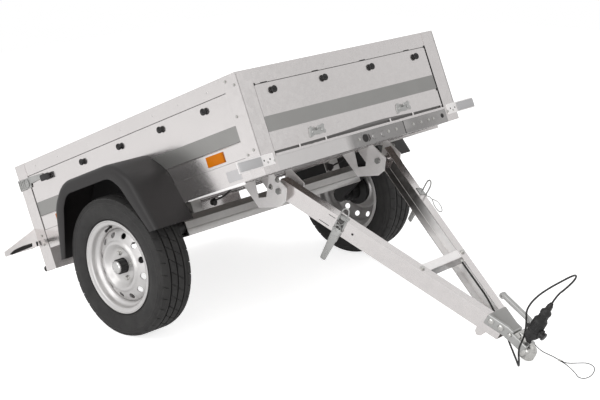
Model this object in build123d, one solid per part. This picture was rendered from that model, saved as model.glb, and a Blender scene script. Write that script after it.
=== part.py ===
# Single-axle tipping utility trailer, about 1.5 x 1.1 m, parked on its two wheels and its coupler with the
# bed tipped back.
#
# Everything is in millimetres. Bed pieces are made in the bed's own level frame: origin at the middle of the
# wheel axis, x forwards, y to the left, z up. Drawbar pieces are made in the drawbar's frame: origin at the
# middle of its pivot axis, x along it towards the coupler. Both are then laid into the row's frame, whose
# origin is on the ground under the middle of the trailer.
import os
from math import asin, atan, atan2, cos, degrees, hypot, pi, radians, sin, tan

from build123d import *

# ---- bed
bedWidth = 1117.0            # over the side panels
bedFront = 768.0             # front face, ahead of the wheel axis
bedRear = -712.0             # rear face, behind the wheel axis
bedTop = 530.0               # top of the panels above the wheel axis
panelBottom = 157.0          # bottom of the side panels and of the frame
panelThickness = 20.0        # depth of the folded edges
panelSheet = 2.0
railLip = 12.0               # the fold's return, under the rail
railHeight = 57.0            # folded rail along the top of each panel
railProud = 1.6              # the rail stands proud of the panel's face
seamHeight = 235.0           # seam between a side panel and its skirt
skirtProud = 1.2
frontPanelBottom = 228.0
gateBottom = 214.0
gateGap = 6.0                # round the tailgate
deckThickness = 9.0
deckGap = 1.0                # between the deck and the sheets and posts round it
deckRearGap = 8.0            # between the deck and the shut tailgate
deckTop = 218.0
beamHeight = 52.0            # chassis members
beamDepth = 40.0
beamWall = 2.5
crossMemberPlaces = (555.0, 425.0, 168.0, -120.0, -420.0)

# ---- corner posts
postLeg = 73.0
postWall = 3.0
gatePostLeg = 48.0           # rear leg of the rear posts, beside the tailgate
rearPostBottom = 66.0
sillHeight, sillDepth = 20.0, 34.0

# ---- wheels
tyreRadius = 273.5
tyreWidth = 155.0
treadWidth = 128.0
rimRadius = 182.5
rimWidth = 136.0
seatRadius, seatGap = 166.0, 0.4     # where the tyre's bead seats
wellRadius = 147.0
rimSheet, discSheet = 4.5, 4.0
wheelGap = 19.5              # between a tyre and the side of the bed
track = bedWidth + 2 * wheelGap + tyreWidth
discFace = 24.0              # mounting face of the disc, outboard of the wheel's middle plane
ventCircle, ventRadius, ventCount = 121.0, 12.0, 12
crownRadius, crownRise = 95.0, 32.0   # the raised ring between the vents and the disc's middle
boltCircle, boltRadius, boltCount = 50.0, 6.5, 4
hubRadius = 30.0
hubFlangeRadius = 66.0
hubFlangeThickness = 10.0
hubInner = 50.0              # inboard end of the hub, from the wheel's middle plane
hubBarrelRadius = 38.0
capRadius, capLength, capRound = 27.0, 56.0, 16.0
boltHoleGap, boltFit = 0.1, 0.3
wheelBoltHead, wheelBoltHeadHeight = 9.8, 12.0
stubRadius = 16.0
runningClearance = 0.05

# ---- axle
axleForward = 168.0          # axle beam ahead of the wheel axis: the trailing arms span this
axleBottom, axleShoulder, axleTop = 32.0, 86.0, 110.0
axleWidth = 60.0
axleWall = 4.0
axleHalfLength = 500.0
armBossRadius = 25.0
axleBevel = 24.0
trailingArmThickness = 22.0
trailingArmDepth = 44.0
armKnuckleRadius, armShoulderRadius = 32.0, 24.0
trailingArmInset = 6.0       # gap between a trailing arm and the tyre
hubGap = 1.0                 # between an arm's shoulder and the hub
stubShort = 9.0              # the stub ends this far inside the disc's face
axleSeatPlace = 400.0
axleSeatWidth = 50.0
axleSeatWall = 5.0

# ---- mudguards
guardReach = 185.0           # how far a mudguard stands out from the side panel
guardTop = 376.0
guardBottom = 90.0
guardWall = 4.0
guardLip = 46.0              # flat face round the wheel opening
guardTopHalf, guardShoulderHalf, guardFootHalf = 150.0, 250.0, 318.0
guardShoulderHeight = 295.0
guardRound = 45.0            # radius of the corners over the wheel
guardStart = 1.0             # the cuts start this far inside the panel's face

# ---- drawbar
pivotForward, pivotHeight = 570.0, 91.0
foldAngle = 52.4             # between the drawbar and the bed as it is parked
armHeight = 72.0
armFlange = 35.0
armWall = 3.0
armMiddleGap = 0.1           # between an arm's cut tip and the middle
armRearEnd = -25.0
armTip = 905.0
armMeet = 1000.5             # where the outer faces of the arms would meet
armPivotHalf = 318.5         # outer face of an arm at its rear end, from the middle
armOverrun = 40.0            # an arm is made this much too long, then cut
pivotBoltRadius = 8.0
sleeveRadius = 14.0
crossbarPlace = 560.0
crossbarHeight, crossbarDepth = 46.0, 34.0
bracketWall = 4.0
bracketGap = 11.5            # between an arm's rear end and the outer bracket plate
bracketSpan = 90.0           # between the two plates of a bracket
bracketOuter = armPivotHalf + bracketGap
bracketInner = bracketOuter - bracketSpan
sleeveGap = 1.0              # between a pivot sleeve and each bracket plate
boltHeadRadius, boltHeadHeight = 13.0, 8.0
nutHeight = 10.0
spacerRadius = 9.0
# corners of a bracket plate ahead of and above the pivot; those with no height meet the cross members
bracketRearTop = (-179.0, -112.0)
bracketFrontTop = (-29.0, -5.0)
bracketNotch = ((-120.0, -1.0), (-76.0, -7.0))
bracketLower = ((41.0, 1.0), (15.0, -45.0), (-25.0, -57.0), (-133.0, -37.0))
bracketSpacer = (-100.0, -23.0)

# ---- coupler
ballPlace = 1016.0           # middle of the ball, along the drawbar
ballHeight = 2.0
ballRadius = 25.0
ballClearance = 0.4
headWall = 6.0
mouthDrop = 20.0             # the head's rim lies this far under the middle of the ball
neckWidth = 46.0
housingRear = 838.0
housingWall = 4.0
housingFit = 0.3
housingLow = -6.0            # lower edge of the housing's sides
neckMargin = 7.0             # the neck is wider than neckWidth by this much each side
leverHalf = 9.0
# corners of the hand lever, along the drawbar from the ball and above the drawbar's middle
leverCorners = ((-41.0, 40.4), (-16.0, 40.4), (-31.0, 96.0), (-48.0, 113.0), (-188.0, 117.0), (-196.0, 108.0),
                (-188.0, 98.0), (-61.0, 96.0))

# ---- plug, cable clip and foot on the drawbar
plugAlong, plugAside = 1008.0, -40.0
holderRadius, holderBottom, holderTop = 25.0, 88.0, 120.0
holderPlate = 3.0
holderPlateSpan = (-28.0, 4.0)       # behind and ahead of the plug
holderLid = (22.0, 14.0, 30.0)       # thickness, half width and height of the lid hinged at its front
holderLug = 11.0
# radius and height of the plug's outline, from its seat in the holder up to the cable's exit
plugOutline = ((24.0, 120.0), (26.0, 124.0), (26.0, 166.0), (22.0, 172.0), (18.0, 174.0), (18.0, 196.0),
               (20.0, 199.0), (20.0, 207.0), (14.0, 215.0), (11.0, 218.0), (10.0, 238.0), (6.5, 250.0))
clipPlace = 596.0
clipLength, clipRadius, clipStrip = 12.0, 6.5, 2.0
clipReach = 5.0                      # the cable's middle inside the edge of the arm's flange
footPlace, footAside, footThickness = 840.0, 40.0, 4.0
footCorners = ((-22.0, 0.0), (22.0, 0.0), (10.0, -30.0), (-6.0, -40.0), (-18.0, -30.0))
anchorPlace, anchorHeight = 930.0, 4.0
anchorRadius, anchorLength = 6.0, 8.0

# ---- cable and breakaway rope: points (x, y, z) from the spot on the ground under the ball
cableDiameter, ropeDiameter = 7.0, 3.0
cableLead, cableTail = 26.0, 40.0    # straight runs at the clip and at the plug
cableRoute = ((-290.3, 70.0, 233.4), (-257.2, 60.0, 210.8), (-218.7, 45.0, 189.6), (-179.2, 24.0, 167.8),
              (-145.8, 5.0, 143.8), (-116.7, -4.0, 116.6), (-89.7, -9.0, 86.0), (-68.1, -15.0, 50.5),
              (-38.0, -31.0, 21.0), (-9.0, -53.0, 3.6), (15.0, -80.0, 3.6), (31.0, -102.0, 33.0),
              (25.0, -98.0, 75.0), (23.1, -72.0, 98.6), (14.7, -46.0, 107.9), (8.9, -27.0, 133.5),
              (5.8, -20.0, 162.3), (4.4, -18.0, 189.9), (17.1, -10.0, 219.2), (40.7, 2.0, 249.0),
              (78.0, 13.0, 280.3), (115.5, 23.0, 306.9), (152.0, 28.0, 332.0), (186.0, 12.0, 350.0),
              (204.0, -26.0, 346.0), (186.0, -58.0, 318.0))
ropeLead = 13.0
ropeRoute = ((-67.0, 68.0, 67.0), (-57.0, 84.0, 49.0), (-45.0, 95.0, 29.0), (-29.0, 99.0, 11.0),
             (-7.0, 95.0, 2.2), (21.0, 85.0, 1.7), (47.0, 78.0, 1.8), (72.3, 66.7, 2.5), (87.0, 60.5, 2.5))
ferruleEnd = (105.4, 52.7, 2.5)      # its other end is the rope's last point
ferruleWidth, ferruleHeight, ferruleRound = 8.0, 5.0, 1.2
eyeSpread, eyeLead, eyeTail = 1.8, 11.5, 19.0
eyeRoute = ((128.5, 52.4, 2.2), (140.5, 60.7, 1.7), (157.5, 76.7, 1.7), (181.0, 96.0, 1.7),
            (209.0, 88.0, 1.7), (231.0, 65.0, 1.7), (245.0, 33.0, 1.7), (254.0, -3.0, 1.7),
            (248.0, -31.0, 1.7), (226.0, -35.0, 1.7), (203.0, -12.0, 1.7), (175.0, 10.0, 1.7),
            (149.0, 28.0, 1.7))

# ---- fittings
beamHoleRadius = 15.0
knobRadius, knobLength = 13.0, 20.0
knobDrop = 89.0              # under the bed's top
knobNeck, knobSeat, knobRound = 8.0, 9.0, 2.0
sideKnobPlaces = (558.0, 294.0, 28.0, -233.0)
endKnobPlaces = (-400.0, -131.0, 137.0, 408.0)
reflectorThickness = 6.0
sideReflectorSpans = ((490.0, 584.0), (-540.0, -446.0))
sideReflectorRise = (88.0, 127.0)    # above the panel's bottom
bracketStrip = 3.0
markerInset, markerReach = 58.5, 117.5
markerRise = (27.0, 68.0)
markerMargin = 4.0
lampGap, lampLength, lampMargin = 20.0, 111.5, 42.0
lampDepth = 40.0
lampRise = (19.0, 50.0)
lampRoot, lampTip = (21.0, 98.0), (17.0, 38.0)    # lower and upper edge of the bracket at its two ends
bumperRadius, bumperDrop, bumperSet = 16.0, 2.0, 9.0
hingeRadius, hingePin, knuckleHalf = 7.0, 3.0, 20.0
hingeSet, hingeDrop = 7.5, 2.5       # the pin lies behind the gate and under its edge
hingeLeaf, hingeLeafHeight, hingeGap = 3.0, 40.0, 0.5
hingePlaces = (-350.0, 0.0, 350.0)
catchPlace, catchHalf, catchPlate = 248.0, 45.0, 3.0
catchHeights = (240.0, 280.0)
catchHookHalf, catchHookReach = 12.0, 16.0
catchHookHeights = (262.0, 268.0)
# the tailgate latch, measured forwards from the bed's rear and down from its top
latchBody, latchBodyDrop, latchBodyOut = (-5.0, 84.0), (64.0, 108.0), 7.0
latchWrap, latchWrapDrop = 40.0, (72.0, 100.0)
latchStrap, latchStrapDrop, latchStrapOut = (72.0, 182.0), (64.0, 94.0), 5.0
latchGripSpan, latchGripDrop, latchGripOut = (178.0, 240.0), (76.0, 101.0), 15.0
# the over-centre latch of a drawbar arm, along the arm and up from its middle
armLatchPlace = 240.0
saddleHalf, saddleOut = 20.0, 4.0
handleSpan, handleHeights, handleOut = (-12.0, 6.0), (-151.0, -5.0), 12.0
loopHalf, loopHeights, loopOut, loopWire = 14.0, (10.0, 91.0), 9.0, 5.0
armLatchGap = 0.05

# ---- frames
armSlope = degrees(atan(armPivotHalf / (armMeet - armRearEnd)))
sides = {"right": -1, "left": 1}


def box(x0, x1, y0, y1, z0, z1):
    return Pos((x0 + x1) / 2, (y0 + y1) / 2, (z0 + z1) / 2) * Box(abs(x1 - x0), abs(y1 - y0), abs(z1 - z0))


def rodX(y, z, r, x0, x1):
    return Pos((x0 + x1) / 2, y, z) * Rot(0, 90, 0) * Cylinder(r, abs(x1 - x0))


def rodY(x, z, r, y0, y1):
    return Pos(x, (y0 + y1) / 2, z) * Rot(90, 0, 0) * Cylinder(r, abs(y1 - y0))


def rodZ(x, y, r, z0, z1):
    return Pos(x, y, (z0 + z1) / 2) * Cylinder(r, abs(z1 - z0))


def slabXZ(points, y0, y1):
    """A polygon in x and z, pulled along y."""
    face = Face(Wire.make_polygon([(x, y0, z) for x, z in points]))
    return Part(Solid.extrude(face, Vector(0, y1 - y0, 0)).wrapped)


def slabXY(points, z0, z1):
    """A polygon in x and y, pulled along z."""
    face = Face(Wire.make_polygon([(x, y, z0) for x, y in points]))
    return Part(Solid.extrude(face, Vector(0, 0, z1 - z0)).wrapped)


def slabYZ(points, x0, x1):
    """A polygon in y and z, pulled along x."""
    face = Face(Wire.make_polygon([(x0, y, z) for y, z in points]))
    return Part(Solid.extrude(face, Vector(x1 - x0, 0, 0)).wrapped)


def turned(points):
    """A closed outline of (radius, y), turned round the y axis."""
    face = Face(Wire.make_polygon([(r, y, 0) for r, y in points]))
    return revolve(face, Axis.Y)


def mirrored(shape):
    return mirror(shape, about=Plane.XZ)


def onSide(side, shape):
    """Shapes are made for the left; the right one is its mirror image."""
    return shape if sides[side] > 0 else mirrored(shape)


def bothSides(shape):
    return [shape, mirrored(shape)]


def hexagon(x, y, z, radius, height):
    """A hexagonal head along y, from y towards +y."""
    place = Pos(x, y + height / 2, z) * Rot(90, 0, 0)
    return place * extrude(RegularPolygon(radius, 6), amount=height / 2, both=True)


# ---- bed
halfWidth = bedWidth / 2
panelFace = halfWidth - postWall             # outer face of a side panel
panelInside = panelFace - panelThickness
postInside = halfWidth - postLeg             # the beams lie between the posts' legs
deckBottom = deckTop - deckThickness


def channelX(y0, y1, z0, z1, x0, x1, openSide):
    """A channel along x, open towards -y or +y."""
    outer = box(x0, x1, y0, y1, z0, z1)
    shift = beamWall * openSide
    inner = box(x0, x1, y0 + shift, y1 + shift, z0 + beamWall, z1 - beamWall)
    return outer - inner


def channelY(x0, x1, z0, z1, y0, y1, openSide):
    """A channel along y, open towards -x or +x."""
    outer = box(x0, x1, y0, y1, z0, z1)
    shift = beamWall * openSide
    inner = box(x0 + shift, x1 + shift, y0, y1, z0 + beamWall, z1 - beamWall)
    return outer - inner


def foldedWall(length, bottom, height):
    """A sheet along x from 0, its outer face at y = 0 and its folded rail behind it, from bottom up."""
    top = bottom + height
    sheet = box(0, length, -panelSheet, 0, bottom, top)
    cap = box(0, length, -panelThickness, 0, top - panelSheet, top)
    back = box(0, length, -panelThickness, -panelThickness + panelSheet, top - railHeight, top)
    lip = box(0, length, -panelThickness, -panelThickness + railLip,
              top - railHeight, top - railHeight + panelSheet)
    foot = box(0, length, -panelThickness, 0, bottom, bottom + panelSheet)
    return sheet + cap + back + lip + foot


def raisedBand(x0, x1, z0, z1, proud):
    return box(x0, x1, 0, proud, z0, z1)


def sidePanel():
    length = bedFront - bedRear - 2 * postWall
    wall = foldedWall(length, panelBottom, bedTop - panelBottom)
    seen = (postLeg - postWall, length - postLeg + postWall)
    rail = raisedBand(*seen, bedTop - railHeight, bedTop, railProud)
    skirt = raisedBand(*seen, panelBottom, seamHeight, skirtProud)
    return Pos(bedRear + postWall, panelFace, 0) * (wall + rail + skirt)


def frontPanel():
    wall = foldedWall(2 * panelInside, frontPanelBottom, bedTop - frontPanelBottom)
    inset = panelInside - postInside
    rail = raisedBand(inset, 2 * panelInside - inset, bedTop - railHeight, bedTop, railProud)
    return Pos(bedFront - postWall, panelInside, 0) * Rot(0, 0, -90) * (wall + rail)


def cornerPost(face, inward, rearLeg, bottom):
    """An angle round a corner. inward is +1 where the bed lies ahead of the face, -1 where it lies behind."""
    alongSide = box(face, face + inward * postLeg, halfWidth - postWall, halfWidth, bottom, bedTop)
    alongEnd = box(face, face + inward * postWall, halfWidth - rearLeg, halfWidth, bottom, bedTop)
    return alongSide + alongEnd


def deck():
    half = panelFace - panelSheet - deckGap
    x0, x1 = bedRear + panelThickness + deckRearGap, bedFront - postWall - deckGap
    return box(x0, x1, -half, half, deckBottom, deckTop)


def sill():
    return channelX(postInside, panelInside, panelBottom, deckBottom,
                    bedRear + postWall, bedFront - postWall, -1)


def frontBeam():
    beam = channelY(bedFront - beamDepth, bedFront, panelBottom, deckBottom, -postInside, postInside, -1)
    hole = rodX(0, (panelBottom + deckBottom) / 2, beamHoleRadius, bedFront - beamDepth, bedFront)
    return beam - hole


def rearBeam():
    return channelY(bedRear, bedRear + beamDepth, panelBottom, deckBottom, -postInside, postInside, 1)


def crossMember(place):
    return channelY(place - beamDepth / 2, place + beamDepth / 2, panelBottom, deckBottom,
                    -postInside, postInside, -1)


def rearSill():
    """The low cross bar between the rear posts, with the plate that closes the tail above it."""
    x0 = bedRear + postWall
    plate = box(x0, x0 + panelSheet, -halfWidth + postWall, halfWidth - postWall, rearPostBottom, panelBottom)
    bar = box(x0, x0 + sillDepth, -halfWidth + postWall, halfWidth - postWall,
              rearPostBottom, rearPostBottom + sillHeight)
    hollow = box(x0 + beamWall, x0 + sillDepth - beamWall, -halfWidth, halfWidth,
                 rearPostBottom + beamWall, rearPostBottom + sillHeight - beamWall)
    return plate + bar - hollow


# ---- fittings on the bed
knobHeight = bedTop - knobDrop


def knob():
    """A tarpaulin button, along +x from its seat at the origin."""
    stem = rodX(0, 0, knobNeck, 0, knobLength)
    head = rodX(0, 0, knobRadius, knobSeat, knobLength)
    return fillet(head.edges(), knobRound) + stem


def knobsOnSide():
    turnedKnob = Rot(0, 0, 90) * knob()
    return [Pos(x, panelFace, knobHeight) * turnedKnob for x in sideKnobPlaces]


def knobsOnFront():
    return [Pos(bedFront - postWall, y, knobHeight) * knob() for y in endKnobPlaces]


def knobsOnGate():
    turnedKnob = Rot(0, 0, 180) * knob()
    return [Pos(bedRear, y, knobHeight) * turnedKnob for y in endKnobPlaces]


def sideReflectors():
    z0, z1 = [panelBottom + rise for rise in sideReflectorRise]
    made = []
    for x0, x1 in sideReflectorSpans:
        made.append(box(x0, x1, panelFace, panelFace + reflectorThickness, z0, z1))
    return made


def markerBracket():
    z0, z1 = [panelBottom + rise for rise in markerRise]
    return box(bedFront, bedFront + bracketStrip, halfWidth - markerInset, halfWidth + markerReach, z0, z1)


def markerFace():
    x0 = bedFront + bracketStrip
    z0, z1 = [panelBottom + rise for rise in markerRise]
    return box(x0, x0 + reflectorThickness, halfWidth + markerMargin, halfWidth + markerReach - markerMargin,
               z0 + markerMargin, z1 - markerMargin)


def lampBracket():
    outer = halfWidth + lampGap + lampLength + lampMargin
    root = [(halfWidth, panelBottom + rise) for rise in lampRoot]
    tip = [(outer, panelBottom + rise) for rise in reversed(lampTip)]
    return slabYZ(root + tip, bedRear, bedRear + bracketStrip)


def lamp():
    z0, z1 = [panelBottom + rise for rise in lampRise]
    y0 = halfWidth + lampGap
    return box(bedRear - lampDepth, bedRear, y0, y0 + lampLength, z0, z1)


def latchCatch(y):
    """A hooked plate on the front panel for a drawbar latch."""
    face = bedFront - postWall
    plate = box(face, face + catchPlate, y - catchHalf, y + catchHalf, *catchHeights)
    hook = box(face, face + catchHookReach, y - catchHookHalf, y + catchHookHalf, *catchHookHeights)
    return plate + hook


def besideGate(span, drops, out):
    """A block on the left post beside the tailgate, by its span from the rear and its drops from the top."""
    x0, x1 = [bedRear + x for x in span]
    z1, z0 = [bedTop - drop for drop in drops]
    return box(x0, x1, halfWidth, halfWidth + out, z0, z1)


def gateLatch():
    base = besideGate(latchBody, latchBodyDrop, latchBodyOut)
    strap = besideGate(latchStrap, latchStrapDrop, latchStrapOut)
    wrap = besideGate((latchBody[0], 0), latchWrapDrop, -latchWrap)
    return base + wrap + strap


def latchGrip():
    inside = besideGate(latchGripSpan, latchGripDrop, latchStrapOut)
    return besideGate(latchGripSpan, latchGripDrop, latchGripOut) - inside


def tailBumper():
    """A rubber bumper, round at the back and flat where it is bolted to a rear post."""
    height = rearPostBottom + bumperDrop
    roller = rodY(bedRear - bumperSet, height, bumperRadius, halfWidth - gatePostLeg, halfWidth)
    behind = box(bedRear - 2 * bumperRadius - bumperSet, bedRear, 0, halfWidth, height - bumperRadius - 1,
                 height + bumperRadius + 1)
    return roller & behind


def mudguard():
    outline = Polyline(
        (-guardFootHalf, guardBottom), (-guardShoulderHalf, guardShoulderHeight), (-guardTopHalf, guardTop),
        (guardTopHalf, guardTop), (guardShoulderHalf, guardShoulderHeight), (guardFootHalf, guardBottom),
        close=True)
    sketch = make_face(outline)
    high = sketch.vertices().filter_by_position(Axis.Y, guardBottom + 1, guardTop + 1)
    sketch = fillet(high, guardRound)
    shell = offset(sketch, -guardWall)
    opening = offset(sketch, -guardLip)
    below = Rectangle(4 * guardFootHalf, 2 * guardLip)
    below = Pos(0, guardBottom) * below
    shell = shell + below
    opening = opening + below
    seat = panelFace + skirtProud
    outer = pulled(sketch, seat, halfWidth + guardReach)
    hollow = pulled(shell, seat - guardStart, halfWidth + guardReach - guardWall)
    mouth = pulled(opening, seat - guardStart, halfWidth + guardReach + guardStart)
    return outer - hollow - mouth


def pulled(sketch, y0, y1):
    """A sketch whose own axes are x and z, pulled along y."""
    return extrude(Plane.XZ.offset(-y0) * sketch, amount=-(y1 - y0))


# ---- tailgate
gateHalf = halfWidth - gatePostLeg - gateGap
hingePlace = (bedRear - hingeSet, gateBottom - hingeDrop)


def tailgate():
    wall = foldedWall(2 * gateHalf, gateBottom, bedTop - gateBottom)
    rail = raisedBand(0, 2 * gateHalf, bedTop - railHeight, bedTop, railProud)
    return Pos(bedRear, -gateHalf, 0) * Rot(0, 0, 90) * (wall + rail)


def gateKnuckle(y):
    x, z = hingePlace
    barrel = rodY(x, z, hingeRadius, y - knuckleHalf, y + knuckleHalf)
    leaf = box(bedRear - hingeLeaf, bedRear, y - knuckleHalf, y + knuckleHalf, z, z + hingeLeafHeight)
    bore = rodY(x, z, hingePin + runningClearance, y - knuckleHalf, y + knuckleHalf)
    return barrel + leaf - bore


def frameKnuckles(y):
    x, z = hingePlace
    made = rodY(x, z, hingePin, y - 2 * knuckleHalf, y + 2 * knuckleHalf)
    inner, outer = knuckleHalf + hingeGap, 2 * knuckleHalf
    for y0, y1 in ((y - outer, y - inner), (y + inner, y + outer)):
        made += rodY(x, z, hingeRadius, y0, y1)
        made += box(bedRear - hingeLeaf, bedRear, y0, y1, z - hingeLeafHeight, z)
    return made


# ---- axle
def axleOutline(inset):
    """The axle beam's section in x and z, with one sloping shoulder at its front."""
    x0, x1 = axleForward - axleWidth / 2 + inset, axleForward + axleWidth / 2 - inset
    return [(x0, axleBottom + inset), (x1, axleBottom + inset), (x1, axleShoulder - inset / 2),
            (x1 - axleBevel + inset / 2, axleTop - inset), (x0, axleTop - inset)]


def axleBeam():
    tube = slabXZ(axleOutline(0), -axleHalfLength, axleHalfLength)
    return tube - slabXZ(axleOutline(axleWall), -axleHalfLength, axleHalfLength)


def axleSeat():
    y0, y1 = axleSeatPlace - axleSeatWidth / 2, axleSeatPlace + axleSeatWidth / 2
    x0, x1 = axleForward - axleWidth / 2, axleForward + axleWidth / 2 - axleBevel
    outer = box(x0, x1, y0, y1, axleTop, panelBottom)
    return outer - box(x0 + axleSeatWall, x1 - axleSeatWall, y0, y1,
                       axleTop + axleSeatWall, panelBottom - axleSeatWall)


def trailingArm():
    middle = track / 2
    y1 = middle - tyreWidth / 2 - trailingArmInset
    y0 = y1 - trailingArmThickness
    high = (axleBottom + axleTop) / 2
    reach = hypot(axleForward, high)
    slope = degrees(atan2(high, axleForward))
    place = Pos(axleForward / 2, (y0 + y1) / 2, high / 2) * Rot(0, -slope, 0)
    web = place * Box(reach, y1 - y0, trailingArmDepth)
    boss = rodY(axleForward, high, armBossRadius, axleHalfLength, y1)
    shoulder = rodY(0, 0, armShoulderRadius, y1, middle - hubInner - hubGap)
    knuckle = rodY(0, 0, armKnuckleRadius, y0, y1) + shoulder
    stub = rodY(0, 0, stubRadius, y1, middle + discFace - stubShort)
    return web + boss + knuckle + stub


# ---- wheels, made with the outboard side towards +y and the middle plane at y = 0
def tyre():
    half, tread, seat, bead = tyreWidth / 2, treadWidth / 2, seatRadius + seatGap, rimWidth / 2
    # (radius, y): bead, wall and tread outside, then the inner liner
    outside = [(seat, bead - 22), (seat, bead - 9.4), (rimRadius + 1.5, bead - 5.2),
               (rimRadius + 7.5, bead + 2), (rimRadius + 31.5, half - 0.5), (tyreRadius - 35.5, half),
               (tyreRadius - 15.5, half - 4), (tyreRadius - 4, tread), (tyreRadius, tread - 14)]
    inside = [(tyreRadius - 18.5, bead - 22), (tyreRadius - 29.5, bead - 6), (rimRadius + 37.5, half - 9.5),
              (rimRadius + 13.5, bead - 6), (rimRadius - 4.5, bead - 18)]
    profile = (outside + [(r, -y) for r, y in reversed(outside)]
               + [(r, -y) for r, y in reversed(inside)] + inside)
    return turned(profile)


def rim():
    half, seat, well, sheet = rimWidth / 2, seatRadius, wellRadius, rimSheet
    # (radius, y): the barrel's outside from flange to flange, then its inside back again
    barrel = [(rimRadius, half), (rimRadius, half - 5), (seat, half - 9), (seat - 2, half - 30), (well, 28),
              (well, -14), (seat - 2, -half + 36), (seat, -half + 9), (rimRadius, -half + 5),
              (rimRadius, -half),
              (rimRadius - sheet, -half), (rimRadius - sheet - 1, -half + 3), (seat - sheet, -half + 6),
              (seat - 2 - sheet, -half + 33.5), (well - sheet, -17), (well - sheet, 31),
              (seat - 2 - sheet, half - 27), (seat - sheet, half - 6), (rimRadius - sheet - 1, half - 3),
              (rimRadius - sheet, half)]
    # the disc: its domed outer face from the barrel to the hub's hole, then its back
    face, back = discFace, discFace - discSheet
    top = face + crownRise
    disc = [(well - 4, face), (well - 8, face + 4), (crownRadius + 9, top - 4), (crownRadius + 4, top),
            (crownRadius - 4, top), (crownRadius - 9, top - 4), (crownRadius - 24, face + 6),
            (crownRadius - 32, face), (hubRadius, face), (hubRadius, back), (crownRadius - 31, back),
            (crownRadius - 22, back + 4), (crownRadius - 5, top - discSheet),
            (crownRadius + 3, top - discSheet), (well - 11, back + 3), (well - 4, back - 1)]
    made = turned(barrel) + turned(disc)
    vent = rodY(ventCircle, 0, ventRadius, back, top)
    bolt = rodY(boltCircle, 0, boltRadius, back - discSheet, face + discSheet)
    for i in range(ventCount):
        made -= Rot(0, 360 / ventCount * i, 0) * vent
    for i in range(boltCount):
        made -= boltTurn(i) * bolt
    return made


def boltTurn(i):
    return Rot(0, 360 / boltCount * i, 0)


def hub():
    flangeFace = discFace - discSheet
    flangeBack = flangeFace - hubFlangeThickness
    flange = rodY(0, 0, hubFlangeRadius, flangeBack, flangeFace)
    barrel = rodY(0, 0, hubBarrelRadius, -hubInner, flangeBack)
    cap = rodY(0, 0, capRadius, flangeFace, flangeFace + capLength)
    bore = rodY(0, 0, stubRadius + runningClearance, -hubInner, flangeFace)
    made = flange + barrel + fillet(cap.edges().sort_by(Axis.Y)[-1], capRound) - bore
    hole = rodY(boltCircle, 0, boltRadius + boltHoleGap, flangeBack - 1, flangeFace + 1)
    for i in range(boltCount):
        made -= boltTurn(i) * hole
    return made


def wheelBolts():
    shank = rodY(boltCircle, 0, boltRadius - boltFit, discFace - hubFlangeThickness - discSheet, discFace)
    one = shank + hexagon(boltCircle, discFace, 0, wheelBoltHead, wheelBoltHeadHeight)
    return [boltTurn(i) * one for i in range(boltCount)]


# ---- drawbar, in its own frame
def armFace(u):
    """How far the outer face of an arm is from the middle at a place along the drawbar."""
    return armPivotHalf * (armMeet - u) / (armMeet - armRearEnd)


armInnerFace = armFlange / cos(radians(armSlope))
armTop = armHeight / 2


def drawbarArm():
    length = hypot(armMeet - armRearEnd, armPivotHalf) + armOverrun
    web = box(-armOverrun, length, -armWall, 0, -armTop, armTop)
    upper = box(-armOverrun, length, -armFlange, 0, armTop - armWall, armTop)
    lower = box(-armOverrun, length, -armFlange, 0, -armTop, -armTop + armWall)
    laid = Pos(armRearEnd, armPivotHalf, 0) * Rot(0, 0, -armSlope) * (web + upper + lower)
    kept = laid & box(armRearEnd, armTip, armMiddleGap, 2 * armPivotHalf, -armHeight, armHeight)
    sleeve = rodY(0, 0, sleeveRadius, bracketInner + sleeveGap, bracketOuter - sleeveGap)
    bore = rodY(0, 0, pivotBoltRadius + runningClearance, bracketInner, bracketOuter)
    return kept + sleeve - bore


def crossbar():
    u0, u1 = crossbarPlace - crossbarDepth / 2, crossbarPlace + crossbarDepth / 2
    y0, y1 = armFace(u0) - armInnerFace, armFace(u1) - armInnerFace
    outline = [(u0, -y0), (u1, -y1), (u1, y1), (u0, y0)]
    bar = slabXY(outline, armTop - crossbarHeight, armTop)
    return bar - box(u0 - 1, u1 - beamWall, -y0, y0, armTop - crossbarHeight - 1, armTop - beamWall)


def bracketPlate(y0, y1):
    """A plate under two cross members, its corners given from the pivot."""
    top = panelBottom - pivotHeight
    rear, front = bracketRearTop, bracketFrontTop
    corners = [(rear[0], top), (rear[1], top), *bracketNotch, (front[0], top), (front[1], top), *bracketLower]
    plate = slabXZ([(pivotForward + x, pivotHeight + z) for x, z in corners], y0, y1)
    return plate - rodY(pivotForward, pivotHeight, pivotBoltRadius + boltHoleGap, y0, y1)


def pivotBracket():
    outer = bracketPlate(bracketOuter, bracketOuter + bracketWall)
    inner = bracketPlate(bracketInner - bracketWall, bracketInner)
    x, z = pivotForward + bracketSpacer[0], pivotHeight + bracketSpacer[1]
    return outer + inner + rodY(x, z, spacerRadius, bracketInner, bracketOuter)


def pivotBolt():
    y0, y1 = bracketInner - bracketWall, bracketOuter + bracketWall
    shank = rodY(pivotForward, pivotHeight, pivotBoltRadius, y0 - nutHeight, y1)
    head = hexagon(pivotForward, y1, pivotHeight, boltHeadRadius, boltHeadHeight)
    nut = hexagon(pivotForward, y0 - nutHeight, pivotHeight, boltHeadRadius, nutHeight)
    return shank + head + nut


housingTop = armTop + housingFit + housingWall
neckHalf = neckWidth / 2 + neckMargin
headRadius = ballRadius + ballClearance + headWall


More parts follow.
